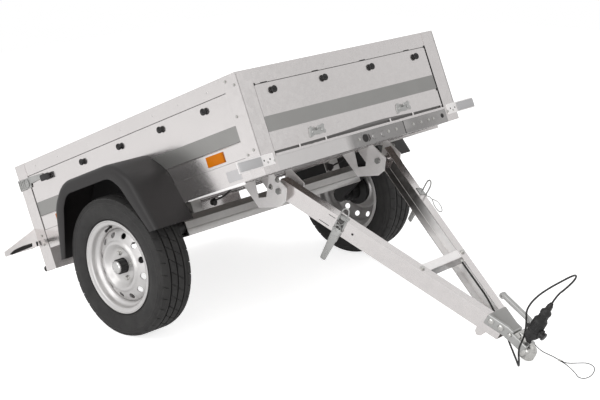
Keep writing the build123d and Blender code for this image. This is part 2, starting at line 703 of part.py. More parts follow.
def couplerHousing():
    outerRear = armFace(housingRear) + housingFit + housingWall
    neckStart = armMeet - (neckHalf - housingFit - housingWall) * (armMeet - armRearEnd) / armPivotHalf
    outline = [(housingRear, -outerRear), (neckStart, -neckHalf), (ballPlace, -neckHalf),
               (ballPlace, neckHalf), (neckStart, neckHalf), (housingRear, outerRear)]
    innerNeck = neckHalf - housingWall
    innerRear = armFace(housingRear - 1) + 1.2 * housingFit
    inner = [(housingRear - 1, -innerRear), (neckStart, -innerNeck), (ballPlace, -innerNeck),
             (ballPlace, innerNeck), (neckStart, innerNeck), (housingRear - 1, innerRear)]
    shell = slabXY(outline, housingLow, housingTop) - slabXY(inner, housingLow - 1, housingTop - housingWall)
    middle = Pos(ballPlace, 0, ballHeight)
    head = middle * Sphere(headRadius)
    skirt = rodZ(ballPlace, 0, headRadius, ballHeight - mouthDrop, ballHeight)
    above = box(ballPlace - 2 * headRadius, ballPlace + 2 * headRadius, -2 * headRadius, 2 * headRadius,
                ballHeight, ballHeight + 2 * headRadius)
    cavity = middle * Sphere(ballRadius + ballClearance)
    mouth = rodZ(ballPlace, 0, ballRadius + ballClearance, ballHeight - mouthDrop - 1, ballHeight)
    anchor = rodY(anchorPlace, anchorHeight, anchorRadius, neckHalf - 1, neckHalf + anchorLength)
    return shell + (head & above) + skirt + anchor - cavity - mouth


def couplerLever():
    return slabXZ([(ballPlace + u, v) for u, v in leverCorners], -leverHalf, leverHalf)


def armLatch():
    """The over-centre latch on the outer face of an arm: saddle, wire loop and handle."""
    saddle = box(-saddleHalf, saddleHalf, 0, saddleOut, -armTop, armTop)
    handle = box(*handleSpan, saddleOut, handleOut, *handleHeights)
    low, high = loopHeights
    wire = box(-loopHalf, loopHalf, saddleOut, loopOut, low, high)
    inside = box(-loopHalf + loopWire, loopHalf - loopWire, 0, 2 * loopOut, low + loopWire, high - loopWire)
    made = saddle + handle + (wire - inside)
    return Pos(armLatchPlace, armFace(armLatchPlace) + armLatchGap, 0) * Rot(0, 0, -armSlope) * made


def drawbarFoot():
    """A rounded tab under the right arm."""
    outline = [(footPlace + u, v - armTop) for u, v in footCorners]
    return slabXZ(outline, -footAside, -footAside + footThickness)


def plugHolder():
    u, y = plugAlong, plugAside
    cup = rodZ(u, y, holderRadius, holderBottom, holderTop)
    edge = y + holderRadius
    u0, u1 = [u + span for span in holderPlateSpan]
    plate = box(u0, u1, edge - 1, edge - 1 + holderPlate, housingTop, holderTop)
    thick, half, high = holderLid
    lid = box(u, u + holderRadius + thick, y - half, y + half, holderTop - high, holderTop)
    lug = box(u - holderRadius - holderLug, u, y - holderLug / 2, y + holderLug / 2,
              holderTop - holderLug, holderTop)
    return cup + plate + lid + lug


def plug():
    outline = [(0, holderTop), *plugOutline, (0, plugOutline[-1][1])]
    face = Face(Wire.make_polygon([(r, 0, v) for r, v in outline]))
    return Pos(plugAlong, plugAside, 0) * revolve(face, Axis.Z)


def clipPose():
    """The clip's front face, on the inner edge of the left arm's top flange and in line with the arm."""
    aside = armFace(clipPlace) - armInnerFace - clipReach
    return Pos(clipPlace, aside, armTop - armWall - clipRadius) * Rot(0, 0, -armSlope)


def cableClip():
    ring = rodX(0, 0, clipRadius, -clipLength, 0)
    tongue = box(-clipLength, 0, 0, clipReach + clipLength, clipRadius - clipStrip, clipRadius)
    return clipPose() * (ring + tongue)


# ---- cords, laid as straight runs joined by arcs
def cordTube(name, points, diameter):
    corners = [Vector(*point) for point in points]
    runs = [after - before for before, after in zip(corners, corners[1:])]
    radii = []
    for inward, outward in zip(runs, runs[1:]):
        half = radians(inward.get_angle(outward)) / 2
        radii.append(0.45 * min(inward.length, outward.length) / tan(half))
    path = FilletPolyline(*corners, radius=radii)
    section = Plane(origin=path @ 0, z_dir=path % 0) * Circle(diameter / 2)
    tube = sweep(section, path=path)
    share = tube.volume / (pi * diameter ** 2 / 4 * path.length)
    print(name, "length", round(path.length, 1), "volume share", round(share, 4))
    print(name, "radii", [round(radius) for radius in radii])
    return tube


def placeOf(pose):
    return tuple(pose.position)


# ---- the parked pose
contactAlong = ballPlace + ballRadius + ballClearance + headWall
contactHeight = ballHeight - mouthDrop
fold = radians(foldAngle)
forwardLever = pivotForward + contactAlong * cos(fold) + contactHeight * sin(fold)
heightLever = pivotHeight - contactAlong * sin(fold) + contactHeight * cos(fold)
# the bed's tilt at which the coupler's rim just meets the ground
bedTilt = degrees(asin(-tyreRadius / hypot(forwardLever, heightLever)) - atan2(heightLever, forwardLever))
bedPlace = Pos(0, 0, tyreRadius) * Rot(0, -bedTilt, 0)
drawbarPlace = bedPlace * Pos(pivotForward, 0, pivotHeight) * Rot(0, foldAngle, 0)
underBall = (drawbarPlace * Pos(ballPlace, 0, ballHeight)).position.X


def laid(points):
    """Cord points laid on the ground under the ball."""
    return [(x + underBall, y, z) for x, y, z in points]


def cable():
    start = drawbarPlace * clipPose()
    end = drawbarPlace * Pos(plugAlong, plugAside, plugOutline[-1][1])
    route = [placeOf(start), placeOf(start * Pos(cableLead, 0, 0)), *laid(cableRoute),
             placeOf(end * Pos(0, 0, cableTail)), placeOf(end)]
    return cordTube("cable_lead", route, cableDiameter)


def rope():
    start = drawbarPlace * Pos(anchorPlace, neckHalf + anchorLength, anchorHeight)
    route = [placeOf(start), placeOf(start * Pos(0, ropeLead, 0)), *laid(ropeRoute)]
    return cordTube("breakaway_rope", route, ropeDiameter)


ferruleFrom, ferruleTo = [Vector(*point) for point in laid((ropeRoute[-1], ferruleEnd))]
ferrulePose = Plane(origin=ferruleTo, x_dir=ferruleTo - ferruleFrom, z_dir=(0, 0, 1)).location


def ferrule():
    length = (ferruleTo - ferruleFrom).length
    sleeve = box(-length, 0, -ferruleWidth / 2, ferruleWidth / 2, -ferruleHeight / 2, ferruleHeight / 2)
    return ferrulePose * fillet(sleeve.edges().filter_by(Axis.X), ferruleRound)


def ropeEye():
    route = [placeOf(ferrulePose * Pos(0, eyeSpread, 0)), placeOf(ferrulePose * Pos(eyeLead, eyeSpread, 0)),
             *laid(eyeRoute),
             placeOf(ferrulePose * Pos(eyeTail, -eyeSpread, 0)), placeOf(ferrulePose * Pos(0, -eyeSpread, 0))]
    return cordTube("rope_eye", route, ropeDiameter)


# ---- the pieces
bedPieces = {
    "deck": [deck()],
    "front_panel": [frontPanel()],
    "side_panel_left": [sidePanel()],
    "side_panel_right": [mirrored(sidePanel())],
    "front_posts": bothSides(cornerPost(bedFront, -1, postLeg, panelBottom)),
    "rear_posts": bothSides(cornerPost(bedRear, 1, gatePostLeg, rearPostBottom)),
    "side_sills": bothSides(sill()),
    "front_beam": [frontBeam()],
    "rear_beam": [rearBeam()],
    "cross_members": [crossMember(place) for place in crossMemberPlaces],
    "rear_sill": [rearSill()],
    "mudguard_left": [mudguard()],
    "mudguard_right": [mirrored(mudguard())],
    "axle_beam": [axleBeam()],
    "axle_seats": bothSides(axleSeat()),
    "trailing_arm_left": [trailingArm()],
    "trailing_arm_right": [mirrored(trailingArm())],
    "pivot_brackets": bothSides(pivotBracket()),
    "pivot_bolts": bothSides(pivotBolt()),
    "tarp_knobs": knobsOnSide() + [mirrored(k) for k in knobsOnSide()] + knobsOnFront(),
    "side_reflectors": sideReflectors() + [mirrored(r) for r in sideReflectors()],
    "marker_brackets": bothSides(markerBracket()),
    "marker_faces": bothSides(markerFace()),
    "lamp_brackets": bothSides(lampBracket()),
    "rear_lamps": bothSides(lamp()),
    "latch_catches": [latchCatch(catchPlace), latchCatch(-catchPlace)],
    "gate_latches": bothSides(gateLatch()),
    "latch_grips": bothSides(latchGrip()),
    "tail_bumpers": bothSides(tailBumper()),
    "gate_hinges": [frameKnuckles(y) for y in hingePlaces],
    "tailgate": [tailgate()],
    "gate_knuckles": [gateKnuckle(y) for y in hingePlaces],
    "gate_knobs": knobsOnGate(),
}

drawbarPieces = {
    "drawbar_arm_left": [drawbarArm()],
    "drawbar_arm_right": [mirrored(drawbarArm())],
    "drawbar_crossbar": [crossbar()],
    "coupler_housing": [couplerHousing()],
    "coupler_lever": [couplerLever()],
    "drawbar_foot": [drawbarFoot()],
    "plug_holder": [plugHolder()],
    "cable_clip": [cableClip()],
    "arm_latch_left": [armLatch()],
    "arm_latch_right": [mirrored(armLatch())],
}

# the plug and the cords are left out of the box that the origin is taken from
cordPieces = {
    "cable_lead": [cable()],
    "breakaway_rope": [rope()],
    "rope_ferrule": [ferrule()],
    "rope_eye": [ropeEye()],
    "plug": [drawbarPlace * plug()],
}

for side in sides:
    bedPieces["tyre_" + side] = [onSide(side, Pos(0, track / 2, 0) * tyre())]
    bedPieces["rim_" + side] = [onSide(side, Pos(0, track / 2, 0) * rim())]
    bedPieces["hub_" + side] = [onSide(side, Pos(0, track / 2, 0) * hub())]
    bedPieces["wheel_bolts_" + side] = [onSide(side, Pos(0, track / 2, 0) * b) for b in wheelBolts()]

placed = {}
for name, solids in bedPieces.items():
    placed[name] = [bedPlace * solid for solid in solids]
for name, solids in drawbarPieces.items():
    placed[name] = [drawbarPlace * solid for solid in solids]

reaches = [solid.bounding_box() for solids in placed.values() for solid in solids]
placed.update(cordPieces)
rearmost, foremost = min(reach.min.X for reach in reaches), max(reach.max.X for reach in reaches)
lowest = min(reach.min.Z for reach in reaches)
origin = -(rearmost + foremost) / 2
toMiddle = Pos(origin, 0, 0)

os.makedirs("parts", exist_ok=True)
for name, solids in placed.items():
    moved = [toMiddle * solid for solid in solids]
    export_step(Compound(children=[Part(solid.wrapped) for solid in moved]), f"parts/{name}.step")

pivot = (bedPlace * Pos(pivotForward, 0, pivotHeight)).position
hinge = (bedPlace * Pos(hingePlace[0], 0, hingePlace[1])).position
hitch = toMiddle * drawbarPlace * Pos(ballPlace, 0, ballHeight)
print("ball", round(hitch.position.X, 3), round(hitch.position.Z, 3))
print("bed tilt", round(bedTilt, 3), "lowest", round(lowest, 3), "shift", round(origin, 3))
print("wheel axis", round(origin, 3), round(tyreRadius, 3))
print("drawbar pivot", round(pivot.X + origin, 3), round(pivot.Z, 3))
print("gate hinge", round(hinge.X + origin, 3), round(hinge.Z, 3))
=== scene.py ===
# A small single-axle utility trailer, parked on its wheels and its coupler: the dressed model.
from math import atan2, cos, pi, radians, sin, tan, tau

import bmesh
import bpy
from mathutils import Matrix, Vector


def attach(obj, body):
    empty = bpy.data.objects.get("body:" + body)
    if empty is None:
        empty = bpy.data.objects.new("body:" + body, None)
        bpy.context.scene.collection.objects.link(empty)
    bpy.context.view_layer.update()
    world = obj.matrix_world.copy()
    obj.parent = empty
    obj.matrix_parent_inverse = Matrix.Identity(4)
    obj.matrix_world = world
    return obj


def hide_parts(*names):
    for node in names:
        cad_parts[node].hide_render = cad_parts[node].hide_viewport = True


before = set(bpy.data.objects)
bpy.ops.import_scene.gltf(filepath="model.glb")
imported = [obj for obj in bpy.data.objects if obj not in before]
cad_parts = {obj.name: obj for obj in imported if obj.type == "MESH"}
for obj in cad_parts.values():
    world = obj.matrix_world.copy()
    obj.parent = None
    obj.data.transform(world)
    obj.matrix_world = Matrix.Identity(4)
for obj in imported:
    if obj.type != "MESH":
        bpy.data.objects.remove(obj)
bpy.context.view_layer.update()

# where the bed's frame stands, from the wheel axis, and the drawbar's, from its pivot
parked = {"axleX": -303.253, "axleZ": 273.5, "bedTilt": 20.931,
          "pivotX": 196.623, "pivotZ": 562.128, "barTurn": 31.469, "ballX": 1064.24}


def spun(angle, axis):
    return Matrix.Rotation(radians(angle), 4, axis)


def spaceAt(x, z, turn):
    return Matrix.Translation((x / 1000, 0, z / 1000)) @ spun(turn, "Y") @ Matrix.Scale(0.001, 4)


bedSpace = spaceAt(parked["axleX"], parked["axleZ"], -parked["bedTilt"])
barSpace = spaceAt(parked["pivotX"], parked["pivotZ"], parked["barTurn"])
# the frame that each body's pieces are drawn in
homes = {"bed": bedSpace, "tailgate": bedSpace, "drawbar": barSpace, "loose": Matrix.Scale(0.001, 4)}


def placed(name, data):
    # a new object in the scene
    made = bpy.data.objects.new(name, data)
    bpy.context.scene.collection.objects.link(made)
    return made


camera = {"place": (3.54627, -3.72310, 1.81082), "right": (0.72942554, 0.68278166, -0.04180408),
          "down": (0.14882417, -0.21804513, -0.96452459), "forward": (-0.66767488, 0.69732741, -0.2606621),
          "lens": 80.1, "sensor": 36.0}


def aimCamera():
    made = placed("camera", bpy.data.cameras.new("camera"))
    made.data.lens = camera["lens"]
    made.data.sensor_width = camera["sensor"]
    made.data.clip_end = 60
    columns = [Vector(camera["right"]), -Vector(camera["down"]), -Vector(camera["forward"])]
    made.matrix_world = Matrix.Translation(camera["place"]) @ Matrix(columns).transposed().to_4x4()
    bpy.context.scene.camera = made


aimCamera()
print("camera placed")


def put(tree, kind, inputs=None, **settings):
    node = tree.nodes.new(kind)
    for key, value in settings.items():
        setattr(node, key, value)
    for key, value in (inputs or {}).items():
        if isinstance(value, bpy.types.NodeSocket):
            tree.links.new(value, node.inputs[key])
        else:
            node.inputs[key].default_value = value
    return node


def tone(red, green, blue):
    # an 8-bit screen colour as a shader colour
    return tuple(((c / 255 + 0.055) / 1.055) ** 2.4 if c > 10 else c / 3294
                 for c in (red, green, blue)) + (1.0,)


def maths(tree, operation, first, second=0.0):
    return put(tree, "ShaderNodeMath", {0: first, 1: second}, operation=operation).outputs[0]


def ranged(tree, value, low, high, start=0.0, end=1.0):
    return put(tree, "ShaderNodeMapRange", {"Value": value, "From Min": start, "From Max": end,
                                            "To Min": low, "To Max": high}).outputs["Result"]


def blended(tree, factor, first, second, mode="MIX"):
    node = put(tree, "ShaderNodeMix", data_type="RGBA", blend_type=mode)
    for socket, value in zip((node.inputs[0], node.inputs[6], node.inputs[7]), (factor, first, second)):
        if isinstance(value, bpy.types.NodeSocket):
            tree.links.new(value, socket)
        else:
            socket.default_value = value
    return node.outputs[2]


def newMaterial(name, metallic=0.0, coat=0.0, specular=0.5):
    made = bpy.data.materials.new(name)
    made.use_nodes = True
    shader = made.node_tree.nodes["Principled BSDF"]
    for socket, value in (("Metallic", metallic), ("Coat Weight", coat), ("Coat Roughness", 0.12),
                          ("Specular IOR Level", specular)):
        shader.inputs[socket].default_value = value
    return made, made.node_tree


def objectCoords(tree, scale=(1, 1, 1), turn=(0, 0, 0)):
    coords = put(tree, "ShaderNodeTexCoord").outputs["Object"]
    return put(tree, "ShaderNodeMapping", {"Vector": coords, "Scale": scale,
                                           "Rotation": turn}).outputs["Vector"]


def noise(tree, where, scale, detail=3.0, roughness=0.55):
    return put(tree, "ShaderNodeTexNoise", {"Vector": where, "Scale": scale, "Detail": detail,
                                            "Roughness": roughness}).outputs["Fac"]


def surfaced(made, colour, rough, height, strength, distance):
    # the sockets that every finish fills, and its fine relief
    tree = made.node_tree
    bump = put(tree, "ShaderNodeBump", {"Height": height, "Strength": strength, "Distance": distance})
    shader = tree.nodes["Principled BSDF"]
    for name, value in (("Base Color", colour), ("Roughness", rough), ("Normal", bump.outputs["Normal"])):
        tree.links.new(value, shader.inputs[name])
    return made


def shaded(colour, share, lift=0.0):
    # a lighter or darker tone of a colour
    return tuple(min(1.0, c * share + lift) for c in colour[:3]) + (1.0,)


bedInside = (-0.896, 0.578, 0.5535)     # metres along the bed's own axes: rear, front and half width


def insideBed(tree):
    # 1 on the faces turned to the load, 0 outside
    level = objectCoords(tree, turn=(0, radians(parked["bedTilt"]), 0))
    spot = put(tree, "ShaderNodeSeparateXYZ", {"Vector": level}).outputs
    rear, front, half = bedInside
    along, across = spot["X"], maths(tree, "ABSOLUTE", spot["Y"])
    within = maths(tree, "MULTIPLY", maths(tree, "LESS_THAN", along, front),
                   maths(tree, "GREATER_THAN", along, rear))
    return maths(tree, "MULTIPLY", within, maths(tree, "LESS_THAN", across, half))


def galvanised(name, colour, metallic, rough, cell, contrast, duller=False):
    # zinc sheet: flat crystals of slightly different brightness, and a faint cloudy film
    made, tree = newMaterial(name, metallic=metallic, specular=0.4)
    where = objectCoords(tree)
    warp = put(tree, "ShaderNodeTexNoise", {"Vector": where, "Scale": 1.4 / cell,
                                            "Detail": 2.0}).outputs["Color"]
    bent = blended(tree, 0.04, where, warp)
    crystals = put(tree, "ShaderNodeTexVoronoi", {"Vector": bent, "Scale": 1 / cell})
    flake = put(tree, "ShaderNodeSeparateColor", {"Color": crystals.outputs["Color"]}).outputs[0]
    cloud = noise(tree, where, 5.0, 4.0)
    shade = maths(tree, "ADD", maths(tree, "MULTIPLY", flake, contrast), maths(tree, "MULTIPLY", cloud, 0.5))
    body = blended(tree, shade, shaded(colour, 0.93), shaded(colour, 1.06))
    sheen = ranged(tree, flake, rough - 0.02, rough + 0.03)
    if duller:
        inside = insideBed(tree)
        metal = tree.nodes["Principled BSDF"].inputs["Metallic"]
        tree.links.new(ranged(tree, inside, metallic, 0.45), metal)
        sheen = maths(tree, "ADD", sheen, ranged(tree, inside, 0.0, 0.2))
    return surfaced(made, body, sheen, noise(tree, where, 60.0, 3.0), 0.02, 0.0004)


def zincWithPaintedShade(name, axis, start, end, near, far, metallic=0.9):
    # zinc sheet with painted shade and painted reflection: its colour runs from one tone to another along one
    # axis of the object
    made, tree = newMaterial(name, metallic=metallic, specular=0.4)
    where = objectCoords(tree)
    along = put(tree, "ShaderNodeSeparateXYZ", {"Vector": where}).outputs[axis]
    cloud = noise(tree, where, 22.0, 4.0)
    run = ranged(tree, along, 0.0, 1.0, near, far)
    share = maths(tree, "ADD", run, ranged(tree, cloud, -0.08, 0.08, 0.3, 0.7))
    return surfaced(made, blended(tree, share, start, end), ranged(tree, cloud, 0.2, 0.26, 0.3, 0.7),
                    noise(tree, where, 60.0, 3.0), 0.02, 0.0004)


def pressedZinc():
    made, tree = newMaterial("zincPressing", metallic=0.75, specular=0.5)
    where = objectCoords(tree)
    patches = noise(tree, where, 26.0, 5.0, 0.65)
    return surfaced(made, blended(tree, patches, tone(152, 152, 151), tone(188, 188, 186)),
                    ranged(tree, patches, 0.22, 0.42, 0.3, 0.7), noise(tree, where, 420.0, 3.0), 0.15, 0.0003)


def brightZinc(name, colour, rough):
    made, tree = newMaterial(name, metallic=1.0)
    where = objectCoords(tree)
    haze = noise(tree, where, 90.0, 4.0)
    return surfaced(made, blended(tree, haze, shaded(colour, 0.84), colour),
                    ranged(tree, haze, rough, rough + 0.14, 0.3, 0.7), noise(tree, where, 900.0, 2.0), 0.06,
                    0.0002)


def silverPaint():
    made, tree = newMaterial("rimSilver", metallic=0.55, coat=0.1)
    where = objectCoords(tree)
    flake = put(tree, "ShaderNodeTexVoronoi", {"Vector": where, "Scale": 2600.0}).outputs["Distance"]
    film = noise(tree, where, 30.0, 4.0)
    mixed = maths(tree, "ADD", maths(tree, "MULTIPLY", flake, 0.5), maths(tree, "MULTIPLY", film, 0.5))
    return surfaced(made, blended(tree, mixed, tone(186, 184, 183), tone(204, 202, 201)),
                    ranged(tree, film, 0.36, 0.42, 0.3, 0.7), flake, 0.05, 0.0001)


def rubber(name, colour, worn, rough, grain):
    made, tree = newMaterial(name, specular=0.35)
    where = objectCoords(tree)
    dust = noise(tree, where, 18.0, 6.0, 0.7)
    fine = noise(tree, where, grain, 3.0)
    return surfaced(made, blended(tree, ranged(tree, dust, 0.0, 1.0, 0.35, 0.75), colour, worn),
                    ranged(tree, fine, rough - 0.07, rough + 0.08, 0.3, 0.7), fine, 0.25, 0.0004)


def mouldedPlastic(name, colour, rough, grain):
    made, tree = newMaterial(name, specular=0.38)
    where = objectCoords(tree)
    pores = put(tree, "ShaderNodeTexVoronoi", {"Vector": where, "Scale": grain}).outputs["Distance"]
    cloud = noise(tree, where, 7.0, 4.0)
    faded = ranged(tree, cloud, 0.0, 0.8, 0.3, 0.75)
    return surfaced(made, blended(tree, faded, colour, shaded(colour, 1.35, 0.004)),
                    ranged(tree, cloud, rough - 0.05, rough + 0.06, 0.3, 0.7), pores, 0.18, 0.0005)


def stripeFilm():
    made, tree = newMaterial("stripeFilm", metallic=0.8, specular=0.5)
    where = objectCoords(tree)
    cloud = noise(tree, where, 12.0, 4.0)
    return surfaced(made, blended(tree, cloud, tone(148, 147, 145), tone(156, 155, 153)),
                    ranged(tree, noise(tree, where, 240.0), 0.28, 0.34), noise(tree, where, 480.0), 0.03,
                    0.0002)


def lens(name, dark, bright, cell, coat, specular):
    # a lens with rows of small prisms behind a smooth face
    made, tree = newMaterial(name, coat=coat, specular=specular)
    where = objectCoords(tree)
    prisms = put(tree, "ShaderNodeTexVoronoi", {"Vector": where, "Scale": 1 / cell, "Randomness": 0.0},
                 distance="CHEBYCHEV").outputs["Distance"]
    return surfaced(made, blended(tree, ranged(tree, prisms, 0.0, 1.0, 0.0, 0.6), bright, dark),
                    ranged(tree, prisms, 0.2, 0.4), prisms, 0.3, 0.0006)


def deckBoard():
    # brown film-faced board with a fine woven grip print
    made, tree = newMaterial("deckBoard", coat=0.15)
    flat = objectCoords(tree, turn=(0, radians(parked["bedTilt"]), 0))
    ridges = [put(tree, "ShaderNodeTexWave", {"Vector": flat, "Scale": 62.0, "Distortion": 0.3},
                  bands_direction=way).outputs["Fac"] for way in ("X", "Y")]
    mesh = maths(tree, "MAXIMUM", *ridges)
    cloud = noise(tree, objectCoords(tree, scale=(3, 12, 3)), 5.0, 6.0, 0.65)
    brown = blended(tree, cloud, tone(58, 45, 37), tone(80, 65, 54))
    body = blended(tree, maths(tree, "MULTIPLY", mesh, 0.25), brown, tone(100, 84, 71))
    return surfaced(made, body, ranged(tree, mesh, 0.38, 0.6), mesh, 0.5, 0.0006)


def brushedPlate():
    made, tree = newMaterial("brushedPlate", metallic=0.6)
    where = objectCoords(tree, scale=(1, 1, 40))
    lines = noise(tree, where, 60.0, 3.0)
    return surfaced(made, blended(tree, lines, tone(188, 186, 187), tone(206, 204, 205)),
                    ranged(tree, lines, 0.3, 0.45), lines, 0.1, 0.0002)


def ropeWire():
    # seven strands laid round each other, along the rope's own run
    made, tree = newMaterial("ropeWire", metallic=0.2)
    along = put(tree, "ShaderNodeUVMap").outputs["UV"]
    slanted = put(tree, "ShaderNodeMapping", {"Vector": along, "Rotation": (0, 0, 0.02)}).outputs["Vector"]
    waves = put(tree, "ShaderNodeTexWave", {"Vector": slanted, "Scale": 60.0}, bands_direction="X")
    strands = waves.outputs["Fac"]
    return surfaced(made, blended(tree, strands, tone(12, 12, 12), tone(40, 40, 41)),
                    ranged(tree, strands, 0.5, 0.3), strands, 0.6, 0.0006)


finish = {
    "panel": galvanised("panelZinc", tone(219, 215, 214), 0.96, 0.19, 0.010, 0.3, duller=True),
    "steel": galvanised("frameZinc", tone(217, 213, 212), 0.92, 0.21, 0.014, 0.4),
    # painted light: a whiter, less metallic copy of the zinc, so that brackets in the bed's shade read bright
    "plate": galvanised("plateZincPaintedLight", tone(246, 243, 242), 0.25, 0.36, 0.012, 0.4),
    "dipped": galvanised("dippedZinc", tone(180, 178, 176), 0.7, 0.36, 0.016, 0.5),
    # painted light: a lighter copy of the axle's zinc for the lower half of its front
    "facing": galvanised("facingZincPaintedLight", tone(200, 198, 196), 0.4, 0.36, 0.016, 0.5),
    # painted reflection: the front beam's zinc turns from light to dark across its middle
    "beam": zincWithPaintedShade("beamPaintedReflection", "Y", tone(210, 207, 206), tone(150, 148, 147), -0.125, -0.08),
    # painted reflection: the arms' inner webs dark towards one end and bright towards the other
    "webReflection": zincWithPaintedShade("webReflectionZinc", "X", tone(84, 82, 80), tone(250, 248, 247), 0.38, 0.53, 0.1),
    # painted shade and reflection: the crossbar's face dark on one side and light on the other
    "crossbarShade": zincWithPaintedShade("crossbarShadeZinc", "Y", tone(88, 87, 86), tone(205, 203, 202), -0.1, 0.09, 0.5),
    # near-black finish for the trailing arms
    "nearBlack": mouldedPlastic("armNearBlack", tone(27, 26, 26), 0.45, 900.0),
    "pressing": pressedZinc(),
    "bolt": brightZinc("boltZinc", tone(198, 197, 194), 0.22),
    "chrome": brightZinc("capChrome", tone(204, 203, 202), 0.2),
    "rim": silverPaint(),
    "tyre": rubber("tyreRubber", tone(37, 36, 36), tone(52, 51, 50), 0.66, 520.0),
    "rubber": rubber("blackRubber", tone(34, 33, 33), tone(50, 48, 47), 0.66, 380.0),
    "guard": mouldedPlastic("guardPlastic", tone(31, 29, 29), 0.5, 900.0),
    "liner": mouldedPlastic("linerPlastic", tone(20, 19, 19), 0.6, 500.0),
    # dark joints, and painted shade under the rails, along the beads and in the latches' hollows
    "darkJointsAndShade": mouldedPlastic("seamShade", tone(78, 76, 75), 0.6, 500.0),
    # painted shade for the gap over the front beam
    "slot": mouldedPlastic("slotShade", tone(104, 102, 101), 0.6, 500.0),
    "plastic": mouldedPlastic("blackPlastic", tone(24, 23, 23), 0.36, 1100.0),
    "sheath": rubber("cableSheath", tone(32, 31, 31), tone(46, 45, 44), 0.45, 700.0),
    "rope": ropeWire(),
    "deck": deckBoard(),
    "stripe": stripeFilm(),
    "label": brushedPlate(),
    "amber": lens("amberLens", tone(188, 103, 4), tone(200, 116, 8), 0.0035, 0.0, 0.12),
    "white": lens("whiteLens", tone(182, 181, 182), tone(198, 197, 198), 0.0035, 0.0, 0.2),
    "red": lens("redLens", tone(120, 8, 8), tone(176, 18, 16), 0.0040, 0.6, 0.5),
}

cadFinish = {
    "panel": ("front_panel", "side_panel_left", "side_panel_right", "tailgate"),
    "beam": ("front_beam",),
    "steel": ("front_posts", "rear_posts", "side_sills", "rear_beam", "cross_members", "rear_sill",
              "drawbar_arm_left", "drawbar_arm_right", "drawbar_foot", "gate_hinges", "gate_knuckles"),
    "plate": ("pivot_brackets", "marker_brackets", "lamp_brackets", "drawbar_crossbar"),
    "dipped": ("axle_beam", "axle_seats"),
    "nearBlack": ("trailing_arm_left", "trailing_arm_right"),
    "pressing": ("pivot_bolts",),
    "deck": ("deck",),
    "bolt": ("rope_ferrule",),
}


def repaint(node, kind):
    # gives one of the solids' meshes its finish
    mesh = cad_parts[node].data
    mesh.materials.clear()
    mesh.materials.append(finish[kind])


for kind, nodes in cadFinish.items():
    for node in nodes:
        repaint(node, kind)
print("finishes made")


# cords: points in millimetres from the spot on the ground under the ball
rope = {"diameter": 3.0, "farEnd": "fitting", "stiffness": "stiff", "material": "rope", "slot": "steel_rope"}
cords = {
    "cable_lead": {
        "diameter": 7.0, "length": 1155.0, "farEnd": "plug", "stiffness": "medium", "material": "sheath",
        "slot": "cable_sheath",
        "points": (
            (-345.4, 84, 273.6), (-324.3, 76.3, 260.6), (-290.3, 70, 233.4), (-257.2, 60, 210.8),
            (-218.7, 45, 189.6), (-179.2, 24, 167.8), (-145.8, 5, 143.8), (-116.7, -4, 116.6),
            (-89.7, -9, 86), (-68.1, -15, 50.5), (-38, -31, 21), (-9, -53, 3.6), (15, -80, 3.6),
            (31, -102, 33), (25, -98, 75), (23.1, -72, 98.6), (14.7, -46, 107.9), (8.9, -27, 133.5),
            (5.8, -20, 162.3), (4.4, -18, 189.9), (17.1, -10, 219.2), (40.7, 2, 249), (78, 13, 280.3),
            (115.5, 23, 306.9), (152, 28, 332), (186, 12, 350), (204, -26, 346), (186, -58, 318),
            (143.5, -40, 283.2), (122.6, -40, 249.1))},
    "breakaway_rope": {
        **rope, "length": 234.0,
        "points": (
            (-72.3, 38, 80), (-72.3, 51, 80), (-67, 68, 67), (-57, 84, 49), (-45, 95, 29), (-29, 99, 11),
            (-7, 95, 2.2), (21, 85, 1.7), (47, 78, 1.8), (72.3, 66.7, 2.5), (87, 60.5, 2.5))},
    "rope_eye": {
        **rope, "length": 418.0,
        "points": (
            (106.1, 54.4, 2.5), (116.7, 49.9, 2.5), (128.5, 52.4, 2.2), (140.5, 60.7, 1.7),
            (157.5, 76.7, 1.7), (181, 96, 1.7), (209, 88, 1.7), (231, 65, 1.7), (245, 33, 1.7),
            (254, -3, 1.7), (248, -31, 1.7), (226, -35, 1.7), (203, -12, 1.7), (175, 10, 1.7),
            (149, 28, 1.7), (122.2, 43.7, 2.5), (104.7, 51.0, 2.5))},
}


def fromBall(point):
    x, y, z = point
    return Vector(((x + parked["ballX"]) / 1000, y / 1000, z / 1000))


def layCord(name):
    facts = cords[name]
    curve = bpy.data.curves.new(name + "_line", "CURVE")
    curve.dimensions = "3D"
    spline = curve.splines.new("NURBS")
    spline.points.add(len(facts["points"]) - 1)
    for point, place in zip(spline.points, facts["points"]):
        point.co = (*fromBall(place), 1)
    spline.order_u = 3
    spline.use_endpoint_u = True
    spline.resolution_u = 8
    curve.bevel_depth = facts["diameter"] / 2000
    curve.bevel_resolution = 4
    curve.use_fill_caps = True
    curve.materials.append(finish[facts["material"]])
    made = placed(name + "_line", curve)
    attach(made, "drawbar")
    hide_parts(name)
    return made


lines = {name: layCord(name) for name in cords}
print("cords laid")


def circle(radius, count, middle=(0, 0)):
    # points round a circle, from its first axis on
    return [(middle[0] + radius * cos(tau * k / count), middle[1] + radius * sin(tau * k / count))
            for k in range(count)]


def skin(part, rows, around=False, closed=False):
    # faces between rows of vertices: around joins the ends of each row, closed the last row to the first
    for one, two in zip(rows, rows[1:] + (rows[:1] if closed else [])):
        for k in range(len(one) - (0 if around else 1)):
            j = (k + 1) % len(one)
            part.faces.new((one[k], one[j], two[j], two[k]))


